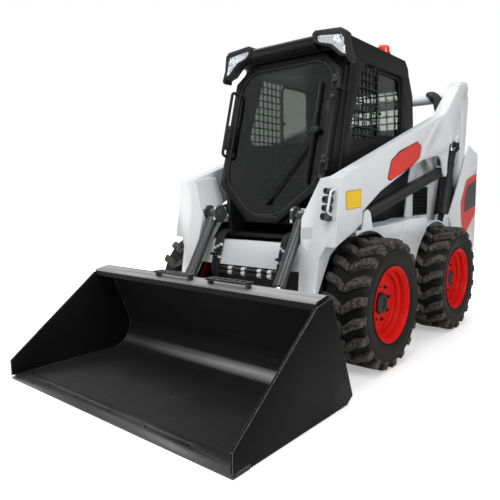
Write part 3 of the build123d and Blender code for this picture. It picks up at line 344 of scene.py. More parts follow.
# ---------------- shader nodes
def feed(tree, inputs, sockets):
    """Gives each input its value, or a link where an output feeds it."""
    for key, value in sockets.items():
        if isinstance(value, bpy.types.NodeSocket):
            tree.links.new(value, inputs[key])
        else:
            inputs[key].default_value = value


def add_node(tree, kind, sockets=None, **settings):
    """The outputs of a new node with its settings and what feeds its inputs."""
    node = tree.nodes.new("ShaderNode" + kind)
    for key, value in settings.items():
        setattr(node, key, value)
    feed(tree, node.inputs, sockets or {})
    return node.outputs


def maths(tree, operation, *values, clamp=False):
    """Result of a sum on values or sockets."""
    return add_node(tree, "Math", dict(enumerate(values)), operation=operation, use_clamp=clamp)[0]


def vectors(tree, operation, first, second):
    """Result of a sum on two vectors."""
    return add_node(tree, "VectorMath", {0: first, 1: second}, operation=operation)[0]


def remap(tree, value, start, end, low=0.0, high=1.0):
    """low where the value is at start, high where it is at end, even between, held beyond."""
    return add_node(tree, "MapRange", {"Value": value, "From Min": start, "From Max": end,
                                       "To Min": low, "To Max": high})["Result"]


def noise(tree, place, scale, detail=2.0, roughness=0.5):
    """A noise texture's value."""
    return add_node(tree, "TexNoise", {"Vector": place, "Scale": scale, "Detail": detail,
                                       "Roughness": roughness})["Fac"]


def blend(tree, share, first, second):
    """The colour a share of the way from the first to the second."""
    return add_node(tree, "Mix", {"Factor": share, "A": first, "B": second},
                    data_type="RGBA")["Result"]


def new_finish(name):
    """A material, its tree, its shader's inputs and the place on the object."""
    finish = bpy.data.materials.new(name)
    finish.use_nodes = True
    tree = finish.node_tree
    return (finish, tree, tree.nodes["Principled BSDF"].inputs,
            add_node(tree, "TexCoord")["Object"])


def shader_group(name, inputs, outputs, build):
    """A shared node group: build gives back what feeds each of its outputs."""
    group = bpy.data.node_groups.new(name, "ShaderNodeTree")
    for title, value in inputs.items():
        kind = {1: "Float", 3: "Vector", 4: "Color"}[np.size(value)]
        socket = group.interface.new_socket(name=title, in_out="INPUT",
                                            socket_type="NodeSocket" + kind)
        socket.default_value = value
    for title, kind in outputs.items():
        group.interface.new_socket(name=title, in_out="OUTPUT", socket_type="NodeSocket" + kind)
    given = group.nodes.new("NodeGroupInput").outputs
    feed(group, group.nodes.new("NodeGroupOutput").inputs, build(group, given))
    return group


def drift_nodes(tree, given):
    """Even finish with slow colour drift, fine grain and a roughness that drifts with it."""
    place = given["Vector"]
    spread = remap(tree, noise(tree, place, 2.3, 3.0), 0.3, 0.7, -1.0, 1.0)
    bright = maths(tree, "ADD", 1.0, maths(tree, "MULTIPLY", spread, given["Drift"]))
    tint = add_node(tree, "VectorMath", {0: given["Color"], "Scale": bright}, operation="SCALE")[0]
    rough = maths(tree, "MULTIPLY_ADD", spread, 0.12, given["Roughness"], clamp=True)
    return {"Color": tint, "Roughness": rough, "Height": noise(tree, place, given["Grain Scale"])}


def layer_nodes(tree, given, mask):
    """A layer's colour laid over the finish by a mask and the layer's amount."""
    share = maths(tree, "MULTIPLY", mask, given["Amount"], clamp=True)
    return {"Color": blend(tree, share, given["Color"], given["Layer Color"]), "Mask": share}


def scuff_nodes(tree, given):
    """Short thin scratches: a stretched noise kept only above a threshold, in patches."""
    stretched = vectors(tree, "MULTIPLY", given["Vector"], given["Stretch"])
    streaks = remap(tree, noise(tree, stretched, 1.0, 4.0, 0.7), 0.58, 0.75)
    patches = remap(tree, noise(tree, given["Vector"], 3.0), 0.4, 0.7)
    return layer_nodes(tree, given, maths(tree, "MULTIPLY", streaks, patches))


def dust_nodes(tree, given):
    """Dust that thins out with height above the ground, broken up by noise."""
    height = add_node(tree, "SeparateXYZ", {0: given["Vector"]})["Z"]
    low = remap(tree, height, 0.0, given["Top"], 1.0, 0.15)
    specks = remap(tree, noise(tree, given["Vector"], 55.0, 6.0, 0.75), 0.42, 0.75)
    return layer_nodes(tree, given, maths(tree, "MULTIPLY", specks, low))


PLACE = {"Vector": (0, 0, 0), "Color": (1, 1, 1, 1)}
LAYER = {**PLACE, "Layer Color": (0.3, 0.3, 0.3, 1), "Amount": 0.5}
LAYER_GIVES = {"Color": "Color", "Mask": "Float"}
GROUPS = {
    "drift": shader_group("finish_drift", {**PLACE, "Drift": 0.05, "Roughness": 0.4,
                                           "Grain Scale": 400.0},
                          {"Color": "Color", "Roughness": "Float", "Height": "Float"},
                          drift_nodes),
    "scuffs": shader_group("scuffs", {**LAYER, "Stretch": (6.0, 60.0, 60.0)}, LAYER_GIVES,
                           scuff_nodes),
    "dust": shader_group("ground_dust", {**LAYER, "Top": 0.8}, LAYER_GIVES, dust_nodes),
}


def coating(name, colour, roughness, metallic=0.0, coat=0.0, drift=0.05, grain=(420, 0.15),
            scuffs=None, dust=None, specular=0.5):
    """A solid finish: drift and grain always, scuffs (colour, amount, stretch) and dust
    (colour, amount, top) where given. grain is its scale and the bump's depth in mm."""
    finish, tree, shader, place = new_finish(name)
    base = add_node(tree, "Group", {"Vector": place, "Color": (*colour, 1), "Drift": drift,
                                    "Roughness": roughness, "Grain Scale": grain[0]},
                    node_tree=GROUPS["drift"])
    tint, rough = base["Color"], base["Roughness"]
    for kind, reach, layer, dulling in (("scuffs", "Stretch", scuffs, 0.15),
                                        ("dust", "Top", dust, 0.4)):
        if layer:
            laid = add_node(tree, "Group",
                            {"Vector": place, "Color": tint, "Layer Color": (*layer[0], 1),
                             "Amount": layer[1], reach: layer[2]}, node_tree=GROUPS[kind])
            tint = laid["Color"]
            rough = maths(tree, "MULTIPLY_ADD", laid["Mask"], dulling, rough, clamp=True)
    bump = add_node(tree, "Bump", {"Strength": 1.0, "Distance": grain[1] * MM,
                                   "Height": base["Height"]})
    feed(tree, shader, {"Base Color": tint, "Roughness": rough, "Normal": bump["Normal"],
                        "Metallic": metallic, "Coat Weight": coat, "Coat Roughness": 0.12,
                        "Specular IOR Level": specular})
    return finish


def bucket_finish(colour, brown):
    """Bucket paint, scuffed between the cheeks only, a little lighter between the cheeks as painted
    light, and a painted highlight along the round heel and on the fold along its top."""
    # the second value raises the colour between the cheeks a little as painted light
    scuff_amount, painted_light_step = 0.6, 0.012
    cheek_inside, cheek_outside = 0.849, 0.8515
    finish = coating("bucket_paint", colour, 0.42, drift=0.18, grain=(260, 0.22),
                     scuffs=((0.07, 0.07, 0.072), scuff_amount, (5.0, 60.0, 60.0)),
                     dust=(brown, 0.01, 0.5), specular=0.06)
    tree = finish.node_tree
    base = tree.nodes["Principled BSDF"].inputs["Base Color"]
    place = tree.nodes["Texture Coordinate"].outputs["Object"]
    x, _, z = add_node(tree, "SeparateXYZ", {0: place})
    inside = remap(tree, maths(tree, "ABSOLUTE", x), cheek_inside, cheek_outside, 1.0, 0.0)
    scuffs = next(node for node in tree.nodes
                  if node.type == "GROUP" and node.node_tree == GROUPS["scuffs"])
    tree.links.new(maths(tree, "MULTIPLY", inside, scuff_amount), scuffs.inputs["Amount"])
    # heel: a painted highlight in a band of heights that fades to the right, broken up by streaks
    # along the bucket
    rise, fall = remap(tree, z, 0.036, 0.062), remap(tree, z, 0.07, 0.1, 1.0, 0.0)
    heel = maths(tree, "MULTIPLY", maths(tree, "MULTIPLY", rise, fall),
                 remap(tree, x, -0.62, 0.1, 0.15))
    # fold: painted highlight on the top face of the fold along the bucket's top
    fold = remap(tree, z, 0.5485, 0.552, high=0.8)
    streaks = noise(tree, vectors(tree, "MULTIPLY", place, (1.2, 30.0, 30.0)), 1.0, 4.0)
    painted_highlight = maths(tree, "MULTIPLY", maths(tree, "MAXIMUM", heel, fold),
                   remap(tree, streaks, 0.3, 0.6, 0.55))
    # painted light: the colour between the cheeks is raised so the inside reads lit and the cheeks'
    # outsides shaded
    painted_lit_inside = vectors(tree, "ADD", base.links[0].from_socket, maths(tree, "MULTIPLY", inside, painted_light_step))
    # blends the painted highlight, pale grey, over the heel and the fold between the cheeks
    tree.links.new(blend(tree, maths(tree, "MULTIPLY", painted_highlight, inside), painted_lit_inside,
                         (0.46, 0.46, 0.462, 1)), base)
    return finish


def glazing(name, colour, roughness=0.02):
    """Tinted glass with faint smears in its gloss."""
    finish, tree, shader, place = new_finish(name)
    smears = remap(tree, noise(tree, place, 4.0, 5.0), 0.4, 0.7, roughness, roughness + 0.05)
    feed(tree, shader, {"Roughness": smears, "Base Color": (*colour, 1),
                        "Transmission Weight": 1.0, "IOR": 1.45})
    return finish


# ---------------- sizes and colours
def colour_property(title, description, default):
    """A colour that the panel shows."""
    return FloatVectorProperty(name=title, description=description, default=default,
                               subtype="COLOR", min=0.0, max=1.0)


class LoaderColours(bpy.types.PropertyGroup):
    """Colours of the loader's finishes"""

    paint: colour_property("Frame paint", "Pale paint of arms and frame", (0.7, 0.715, 0.73))
    cab: colour_property("Cab", "Satin black of the cab", (0.006, 0.006, 0.007))
    bucket: colour_property("Bucket", "Satin black of the bucket", (0.007, 0.007, 0.0075))
    rim: colour_property("Rims", "Red of the wheel rims", (0.6, 0.006, 0.003))
    rubber: colour_property("Rubber", "Black of the tyres", (0.007, 0.0068, 0.0065))
    tread: colour_property("Tread", "Worn rubber of the lugs", (0.018, 0.0175, 0.017))
    badge: colour_property("Badge", "Red of the plain plates", (0.72, 0.03, 0.014))
    plate: colour_property("Plate", "Yellow of the plain plates", (0.86, 0.55, 0.02))
    steel: colour_property("Bare steel", "Pins and fittings", (0.45, 0.45, 0.45))


class LoaderSizes(bpy.types.PropertyGroup):
    """Sizes of the loader's finer forms"""

    lug_count: IntProperty(name="Lugs", description="Tread lugs on each side of a tyre",
                           default=20, min=12, max=30)
    lug_height: FloatProperty(name="Lug height", description="Height of the tread lugs",
                              default=LUG_HEIGHT, unit="LENGTH")
    nut_count: IntProperty(name="Wheel nuts", description="Nuts of a wheel", default=8, min=4)


def sizes():
    """The sizes that the panel shows."""
    return bpy.context.scene.loader_sizes


FINISHES = {}


def make_finishes():
    """Every material of the loader, under a plain name."""
    tint = bpy.context.scene.loader_colours
    pale_dust, brown = (0.3, 0.28, 0.25), (0.16, 0.13, 0.1)
    FINISHES.update({
        "paint": coating("frame_paint", tint.paint, 0.34, coat=0.2, drift=0.03,
                         grain=(350, 0.1), dust=(pale_dust, 0.1, 1.0)),
        "cab": coating("cab_paint", tint.cab, 0.4, drift=0.12, grain=(700, 0.25),
                       specular=0.3),
        "black": coating("black_steel", (0.012, 0.012, 0.013), 0.45, drift=0.15,
                         grain=(500, 0.2), dust=(brown, 0.08, 1.0), specular=0.35),
        "bucket": bucket_finish(tint.bucket, brown),
        "worn": coating("worn_edge", (0.5, 0.5, 0.51), 0.38, drift=0.3, grain=(300, 0.2)),
        "edge_steel": coating("edge_steel", (0.03, 0.03, 0.031), 0.4, drift=0.25,
                              grain=(300, 0.3), specular=0.3,
                              scuffs=((0.12, 0.12, 0.125), 0.5, (60.0, 5.0, 60.0))),
        "grey": coating("chassis_grey", (0.04, 0.04, 0.042), 0.5, drift=0.15),
        "cylinder": coating("cylinder_grey", (0.055, 0.056, 0.058), 0.36, drift=0.08,
                            grain=(500, 0.15)),
        "rim": coating("rim_paint", tint.rim, 0.42, coat=0.02, drift=0.06,
                       grain=(300, 0.12), specular=0.12),
        "rubber": coating("rubber", tint.rubber, 0.6, drift=0.2, grain=(600, 0.4),
                          dust=(brown, 0.05, 1.6), specular=0.2),
        "tread": coating("tread_rubber", tint.tread, 0.72, drift=0.25, grain=(500, 0.7),
                         dust=((0.2, 0.19, 0.175), 1.0, 4.0), specular=0.2),
        "hose": coating("hose_rubber", (0.01, 0.01, 0.01), 0.5, drift=0.1,
                        grain=(1100, 0.4), specular=0.35),
        "seal": coating("door_seal", (0.022, 0.024, 0.022), 0.6, drift=0.1, grain=(900, 0.3)),
        "steel": coating("bare_steel", tint.steel, 0.32, metallic=1.0, drift=0.08),
        "dark_steel": coating("dark_steel", (0.1, 0.1, 0.105), 0.34, metallic=0.8, drift=0.2,
                              grain=(500, 0.3)),
        "chrome": coating("chrome_rod", (0.72, 0.72, 0.72), 0.1, metallic=1.0, drift=0.02),
        "plastic": coating("moulded_plastic", (0.014, 0.014, 0.015), 0.55,
                           grain=(900, 0.5), specular=0.3),
        "iron": coating("engine_iron", (0.04, 0.04, 0.042), 0.6, drift=0.2),
        "seat": coating("seat_vinyl", (0.016, 0.016, 0.017), 0.55, grain=(1400, 0.4),
                        specular=0.3),
        "badge": coating("red_plate", tint.badge, 0.28, coat=0.3, drift=0.06),
        "yellow": coating("yellow_plate", tint.plate, 0.4, drift=0.04),
        "label": coating("pale_label", (0.62, 0.63, 0.63), 0.45, drift=0.04),
        "beacon": coating("beacon_plastic", (0.75, 0.035, 0.012), 0.2, coat=0.6, drift=0.03),
        "tail": coating("tail_lens", (0.32, 0.01, 0.008), 0.18, coat=0.6, drift=0.03),
        "glass": glazing("tinted_glass", (0.36, 0.385, 0.37)),
        "lens": glazing("lamp_lens", (0.92, 0.95, 0.96), 0.05),
        "reflector": coating("lamp_reflector", (0.85, 0.86, 0.88), 0.12, metallic=1.0),
    })


FINISH_NODES = {
    "paint": "fenders uprights tailgate lift_arms rear_links",
    "cab": "cab_shell cab_portal cab_roof door_frame",
    "black": "side_screens axle_housings engine_hood rear_bumper side_covers window_guards "
             "control_links lift_barrels tool_coupler",
    "bucket": "bucket_shell cutting_edge bucket_steps",
    "plastic": "control_pods work_lights door_fittings",
    "glass": "side_windows rear_window door_glass",
    "chrome": "lift_rods tilt_rods",
    "grey": "chassis_tub", "iron": "engine", "seat": "seat", "lens": "lamp_lenses",
    "tail": "tail_lamps", "beacon": "beacon", "steel": "aux_couplers",
    "cylinder": "tilt_barrels",
}
NODE_FINISH = {node: finish for finish, nodes in FINISH_NODES.items() for node in nodes.split()}


# ---------------- details and their operators
def stage_camera(scene):
    """Camera at the viewing angle: its turn follows from azimuth, elevation and roll."""
    azimuth, elevation, roll = radians(37.08), radians(7.558), radians(-0.397)
    stands = (2.0779, -2.9235, 1.0418)
    back = Vector((sin(azimuth) * cos(elevation), -cos(azimuth) * cos(elevation), sin(elevation)))
    right = Vector((cos(azimuth), sin(azimuth), 0))
    turn = (Matrix((right, back.cross(right), back)).transposed() @ Matrix.Rotation(roll, 3, "Z"))
    lens = bpy.data.cameras.new("camera")
    lens.lens, lens.shift_x, lens.shift_y = 36.44, -0.0864, 0.0164
    scene.camera = placed("camera", lens)
    scene.camera.matrix_world = Matrix.Translation(stands) @ turn.to_4x4()


def seen_share(tree):
    """One for what the camera sees itself or through glass, nought for other light."""
    path = add_node(tree, "LightPath")
    return maths(tree, "MAXIMUM", path["Is Camera Ray"], path["Is Transmission Ray"])


def stage_floor():
    """Pale floor that a camera sees as white where nothing shades it."""
    reach, near, far = 30.0, 1.2, 3.6
    mesh = bpy.data.meshes.new("floor")
    mesh.from_pydata([(-reach, -reach, 0), (reach, -reach, 0), (reach, reach, 0),
                      (-reach, reach, 0)], [], [(0, 1, 2, 3)])
    finish, tree, shader, place = new_finish("floor")
    away = add_node(tree, "VectorMath", {0: place}, operation="LENGTH")["Value"]
    glow = maths(tree, "MULTIPLY", seen_share(tree), remap(tree, away, near, far, 0.35))
    feed(tree, shader, {"Base Color": (0.86, 0.86, 0.86, 1), "Roughness": 0.9,
                        "Specular IOR Level": 0.1, "Emission Color": (1, 1, 1, 1),
                        "Emission Strength": glow})
    mesh.materials.append(finish)
    placed("floor", mesh)


def stage_world(scene):
    """Soft light for what is lit, a dimmer room for what mirrors, white for what is seen."""
    lit, mirrored_room = 0.3, 0.26
    scene.world = bpy.data.worlds.new("studio")
    scene.world.use_nodes = True
    tree = scene.world.node_tree
    unseen = remap(tree, add_node(tree, "LightPath")["Is Glossy Ray"], 0.0, 1.0, lit,
                   mirrored_room)
    feed(tree, tree.nodes["Background"].inputs,
         {"Color": (1, 1, 1, 1),
          "Strength": remap(tree, seen_share(tree), 0.0, 1.0, unseen)})


class StageOperator(bpy.types.Operator):
    """Floor, light and camera"""

    bl_idname = "loader.stage"
    bl_label = "Stage"

    def execute(self, context):
        scene = context.scene
        scene.view_settings.view_transform = "Standard"
        stage_camera(scene)
        stage_floor()
        stage_world(scene)
        for name, place, size, power in (
            ("key", (1.2, -4.6, 5.4), 3.0, 150.0),
            ("overhead_left", (-3.4, -0.6, 5.6), 2.6, 165.0),
            ("right_fill", (5.0, -1.2, 3.0), 3.0, 105.0),
            ("top", (0.6, 1.2, 6.0), 3.6, 100.0),
            ("low_left", (-4.6, -2.4, 1.5), 1.6, 45.0),
            ("behind", (-1.6, 6.5, 1.6), 4.0, 120.0),
        ):
            light = bpy.data.lights.new(name, "AREA")
            light.size, light.energy = size, power
            lamp = placed(name, light)
            lamp.location = place
            aim = Vector((0, -0.2, 0.8)) - Vector(place)
            lamp.rotation_euler = aim.to_track_quat("-Z", "Y").to_euler()
        return {"FINISHED"}


class FrameOperator(bpy.types.Operator):
    """Finishes of the welded frames, cab and arms"""

    bl_idname = "loader.frame"
    bl_label = "Frame finishes"

    def execute(self, context):
        make_finishes()
        for node, finish in NODE_FINISH.items():
            for material_slot in frame["nodes"][node].material_slots:
                material_slot.material = FINISHES[finish]
        for node, edge in (
            ("lift_arms", 0.006), ("uprights", 0.003), ("fenders", 0.002), ("cab_shell", 0.01),
            ("cab_roof", 0.012), ("door_frame", 0.004), ("rear_links", 0.004),
            ("control_links", 0.004), ("tailgate", 0.005), ("engine_hood", 0.006),
            ("rear_bumper", 0.005), ("tool_coupler", 0.003), ("control_pods", 0.02),
            ("work_lights", 0.004), ("side_covers", 0.001), ("door_fittings", 0.001),
        ):
            softened(node, NODE_FINISH[node], edge)
        for node, finish, edge in (
            ("bucket_shell", "bucket", 0.003), ("cutting_edge", "edge_steel", 0.002),
            ("bucket_steps", "black", 0.0015),
        ):
            softened(node, finish, edge, "worn")
        return {"FINISHED"}


def tyre_casing(centre):
    """Casing turned from one profile: bead, side wall with its guard rib, shoulder, crown."""
    half = TYRE.x / 2 / MM
    outer = [(half - inset, radius) for inset, radius in (
        (21, 213), (20, 228), (12, 246), (5, 268), (1, 290), (1, 316), (4, 320), (4, 329),
        (1, 333), (3, 342), (14, 349), (30, 352), (80, 353))]
    inner = [(-x, radius) for x, radius in outer[::-1]]
    return lathe(rounded(outer + [(0, 353)] + inner), centre, sides=120)


def tyre_lugs(centre):
    """Two rows of lugs that meet near the middle in pairs. A lug is a tapered section of
    (share of width, share of height) carried from the crown out over the shoulder; its
    angle round the tyre is its shift plus its share of the width over the radius."""
    count, top = sizes().lug_count, TYRE_RADIUS - 0.0015
    tip_turn = 0.156  # brings the middle ends' leading corners to the lowest point
    # millimetres: along the axle, shift round the tyre, width, depth below the top, foot radius
    along, shift, width, sunk, foot = MM * np.array([
        (3, 36.5, 38, 4, 345), (10, 33, 45, 0, 345), (36, 12, 49, 0, 345), (60, -5, 51, 0, 345),
        (74, -11, 51, 0, 345), (108, -23, 49, 1, 345), (123, -28.5, 46, 5, 338),
        (130, -30.5, 43, 16, 330), (131.5, -31, 41, 34, 330)]).T
    share, rise = np.array([(-0.62, 0.0), (-0.52, 0.84), (-0.44, 1.0), (0.44, 1.0),
                            (0.52, 0.84), (0.62, 0.0)]).T
    angle = (shift[:, None] + share * width[:, None]) / top - tip_turn
    height = (top - sunk - foot) * sizes().lug_height / LUG_HEIGHT
    radius = foot[:, None] + rise * height[:, None]
    faces = tube_faces(len(along), len(share))
    turns = np.arange(count) * 2 * pi / count
    rows = []
    for way in (1, -1):
        points = np.stack([np.broadcast_to(centre[0] + way * along[:, None], angle.shape),
                           centre[1] + radius * np.sin(angle), centre[2] - radius * np.cos(angle)],
                          -1)
        rows.append(turned((points.reshape(-1, 3), faces), centre, turns))
    return joined(*rows)


class TyreOperator(bpy.types.Operator):
    """Four lugged tyres"""

    bl_idname = "loader.tyres"
    bl_label = "Tyres"

    def execute(self, context):
        for wheel in WHEELS:
            centre = np.array(middle("tyre_" + wheel))
            make("casing_" + wheel, tyre_casing(centre), "rubber", "tyre_" + wheel,
                 instead=True, smooth=30.0)
            make("lugs_" + wheel, tyre_lugs(centre), "tread", "tyre_" + wheel, smooth=30.0)
        return {"FINISHED"}


def rim_pieces(wheel):
    """A dished rim, and its hub with a ring of nuts: (along, radius) profiles, outward."""
    centre = np.array(middle("tyre_" + wheel))
    axis = (1 if wheel.endswith("left") else -1, 0, 0)
    dish = [(125, 222), (121, 225.5), (112, 224), (109, 213), (90, 210), (60, 196), (30, 194),
            (0, 196), (-100, 210), (-112, 213), (-116, 225.5), (-125, 223), (-122, 214),
            (-112, 206), (-95, 203), (0, 188), (16, 184), (22, 150), (22, 60), (36, 60), (37, 140),
            (41, 152), (41, 168), (48, 176), (66, 178), (72, 184), (78, 196), (96, 199),
            (103, 201), (107, 208), (118, 212)]
    make("rim_dish_" + wheel, lathe(dish, centre, axis, 96), "rim", "rim_" + wheel,
         instead=True, smooth=40.0)
    hub = [(-215, 0), (-215, 32), (-135, 32), (-135, 50), (10, 52), (36.5, 60), (36.5, 63),
           (56, 62), (60, 57), (60, 34), (53, 30), (53, 0)]
    nut = [(36, 0), (36, 12), (39, 12), (40, 10.5), (49, 9.5), (50, 6), (56, 5.5), (56, 0)]
    count, first, circle = sizes().nut_count, 0.2, np.array([0, 0, 0.103])
    nuts = turned(lathe(nut, centre + circle, axis, 6), centre,
                  np.arange(count) * 2 * pi / count + first)
    make("hub_" + wheel, joined(lathe(hub, centre, axis, 48), nuts), "black", "rim_" + wheel,
         smooth=40.0)


class RimOperator(bpy.types.Operator):
    """Four deep dished rims with nuts and hub"""

    bl_idname = "loader.rims"
    bl_label = "Rims"

    def execute(self, context):
        for wheel in WHEELS:
            rim_pieces(wheel)
        return {"FINISHED"}


def door_details():
    """Seal round the door's glass, hinge bolts and the latch's lever."""
    opening = [(-106, 893), (106, 893), (377, 1107), (377, 1750), (283, 1839), (-283, 1839),
               (-377, 1750), (-377, 1107)]
    seal = bent(on_door([(x, z, -8) for x, z in opening]), 0.07, closed=True)
    make("door_seal", tube(seal, 0.0045, 8, up=(0, 1, 0), closed=True), "seal", "door_frame")
    out = unit(np.array([0.0, -1.0, DOOR_LEAN]))
    heads = [lathe([(0, 0), (0, 10), (5, 9), (8, 5), (8, 0)], place, out, 12)
             for place in on_door([(x, hinge + rise, 13) for hinge in (1160, 1640) for x,
                                   rise in ((396, 53), (416, 53))])]
    heads += [lathe([(0, 0), (0, 13), (12, 13), (16, 9), (16, 0)], place, out, 16)
              for place in on_door([(398, z, -1) for z in (1120, 1238, 1600, 1718)])]
    make("door_bolts", joined(*heads), "dark_steel", "door_fittings")
    lever = bent(on_door([(-398, 1345, 27), (-398, 1345, 46), (-398, 1455, 46), (-398, 1455, 27)]),
                 0.012)
    make("door_lever", tube(lever, 0.006, 8, up=(1, 0, 0)), "black", "door_fittings")


def lamp_details():
    """Clear lamp glasses, with fluted reflectors and one round bowl behind each."""
    front, deep, ridge, flute, steps = -543, 22, 8, 7, 7
    outline = [(268, 1950), (284, 1968), (452, 1952), (470, 1916), (482, 1828), (452, 1838),
               (378, 1902), (292, 1926)]
    glass = plate(at([(x, front, z) for x, z in outline]), (0, 0.002, 0))
    make("lamp_glasses", mirrored(glass), "lens", "lamp_lenses", instead=True)
    back = plate(at([(x, front + deep, z) for x, z in outline]), (0, 0.001, 0))
    # flutes: upright ridges, cut off by the outline's lower and upper edge at each place
    lower = np.array([(268, 1950), (292, 1926), (378, 1902), (452, 1838), (482, 1828)])
    upper = np.array([(268, 1951), (284, 1967), (452, 1951), (470, 1915), (482, 1830)])
    row = np.arange(steps)[:, None]
    flutes = []
    for x in np.arange(274, 476, 2 * flute):
        ends = x + np.array([0, flute, 2 * flute])
        low = np.interp(ends, *lower.T) + 2
        high = np.maximum(np.interp(ends, *upper.T) - 2, low + 1)
        z = low + row / (steps - 1) * (high - low)
        y = front + np.array([deep - 1, ridge, deep - 1]) + 3 * (row % 2)
        points = at(np.stack([np.broadcast_to(ends, z.shape), y, z], -1).reshape(-1, 3))
        flutes.append((points, grid_faces(steps, 3)))
    bowl = lathe([(-2, 24), (-6, 23), (6, 14), (10, 0), (12, 0), (12, 24)],
                 spot(420, front + ridge, 1925), (0, 1, 0), 24)
    make("lamp_reflectors", mirrored(joined(back, *flutes, bowl)), "reflector", "lamp_lenses")


def visor_details():
    """Rounded visor between the lamp pods, with a groove along its front."""
    outline = [(-440, 1973), (-526, 1975), (-543, 1962), (-543, 1945), (-537, 1941),
               (-543, 1937), (-541, 1920), (-500, 1898), (-440, 1894)]
    make("roof_visor", side_slab(outline, -0.258, 0.258), "cab", "cab_roof", edge=0.004)


def window_details():
    """Frame of the sliding rear half of each side window, and the rear window's mesh."""
    pane = at([(407, y, z) for y, z in ((-14, 1398), (326, 1424), (326, 1836), (-14, 1836))])
    section = [(-0.009, -0.004), (0.009, -0.004), (0.009, 0.004), (-0.009, 0.004)]
    rim = sweep(bent(pane, 0.06, closed=True), section, up=(1, 0, 0), closed=True)
    knob = lathe([(0, 0), (0, 12), (12, 10), (14, 0)], spot(406, 22, 1560), (1, 0, 0), 16)
    make("window_frames", mirrored(joined(rim, knob)), "plastic", "side_windows")
    # broad bars over the guard's wires, cut off at the window's slanting front and sill
    corner_y, corner_z, top = -425, 1362, 1846
    sill_slope, front_slope, half, pitch = 53 / 760, 483 / 180, 4.5, 50
    guard = []
    for y in np.arange(-375, -24, pitch):
        sill = corner_z + (y - corner_y) * sill_slope
        head = min(corner_z + (y - corner_y) * front_slope, top)
        guard.append(bar(*at([(415.5, y - half, sill + 4), (419.5, y + half, head - 6)])))
    for z in np.arange(1400, 1801, pitch):
        y = corner_y + (z - corner_z) / front_slope
        guard.append(bar(*at([(415.5, y + 6, z - half), (419.5, -22, z + half)])))
    make("guard_bars", mirrored(joined(*guard)), "black", "window_guards")
    # the mesh follows the rear wall: upright below, leaning forward above
    heights, depths = np.array([(1262, 488), (1488, 488), (1726, 464), (1776, 448)]).T
    wire, edge = 0.0065, 328
    bars = [tube(at(np.stack([np.full(4, x), depths, heights], -1)), wire, 6, up=(1, 0, 0))
            for x in np.linspace(-297, 297, 10)]
    for z in np.arange(1290, 1770, 52):
        y = np.interp(z, heights, depths) - 4
        bars.append(tube(at([(x, y, z) for x in (-edge, 0, edge)]), wire, 6))
    make("rear_mesh", joined(*bars), "black", "rear_window")


def control_details():
    """Seat cushions with their sewn channels, seat base, joysticks and their boots."""
    seat_low, seat_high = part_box("seat")
    wide = (seat_high.x - seat_low.x) / 2
    squab = cushion(spot(0, 118, 1052), (wide - 0.01, 0.185, 0.055), (0, -1, 0.04),
                    (0, 0.04, 1), (-0.62, 0.62, 0.0))
    lean = unit(np.array([0.0, 0.135, 0.45]))
    back = cushion(spot(0, 365, 1345), (wide - 0.02, 0.2, 0.048), lean,
                   np.cross((1.0, 0.0, 0.0), lean), (-0.6, 0.6))
    for name, pad in (("seat_squab", squab), ("seat_back", back)):
        piece = make(name, pad, "seat", "seat", instead=pad is squab, smooth=60.0)
    base = [bar(*at([(-190, -20, 862), (190, 330, 940)])),
            bar(*at([(-222, -50, 940), (222, 390, 985)]))]
    spine = side_slab([(300, 985), (372, 1140), (420, 1530), (442, 1530), (400, 985)], -0.18, 0.18)
    make("seat_base", joined(*base, spine), "plastic", "seat", edge=0.006)
    stick = lathe([(0, 0), (0, 45), (12, 36), (20, 38), (30, 26), (40, 24), (48, 12), (100, 10),
                   (108, 20), (150, 23), (200, 21), (215, 12), (217, 0)], spot(322, -210, 1148),
                  (0, -0.1, 0.995), 20)
    make("joysticks", mirrored(stick), "plastic", "control_pods")


class CabOperator(bpy.types.Operator):
    """Door seal, lamps, window frames, rear window mesh and controls"""

    bl_idname = "loader.cab"
    bl_label = "Cab details"

    def execute(self, context):
        door_details()
        lamp_details()
        visor_details()
        window_details()
        control_details()
        return {"FINISHED"}


def coupler_details():
    """Four quick couplers on a white plate beside their guard loop."""
    def face(z):
        """Depth of the elbow's front, which slopes by 40 mm over 220 mm of height."""
        return -835 - (1110 - z) * 40 / 220

    first, pitch, forward = 900, 45, (0, -1, 0.12)
    bodies = []
    for row, radius in enumerate((21, 18, 20, 17)):
        z = first + row * pitch
        foot = spot(585, face(z), z)
        body = [(6, 0)] + [(along, radius - under) for along, under in (
            (6, 3), (20, 3), (22, 0), (36, 0), (38, 2), (44, 2), (46, 0), (60, 0), (63, 3),
            (63, 7), (52, 8))] + [(52, 0)]
        bodies.append(lathe(body, foot, forward, 24))
        bodies.append(lathe(collar(2, 10, 0, radius + 3), foot, forward, 6))
    make("coupler_bodies", joined(*bodies), "dark_steel", "aux_couplers", instead=True)
    low, high, proud = 893, 1066, 6
    recess = side_slab([(face(low), low), (face(low) - proud, low - 2),
                        (face(high) - proud, high - 1), (face(high), high)], 0.56, 0.634)
    loop = bent(at([(606, -852, 1050), (622, -915, 1040), (618, -945, 930), (600, -877, 910)]),
                0.022)
    make("coupler_guard", joined(recess, tube(loop, 0.0065, 12, up=(1, 0, 0))), "paint",
         "aux_couplers")


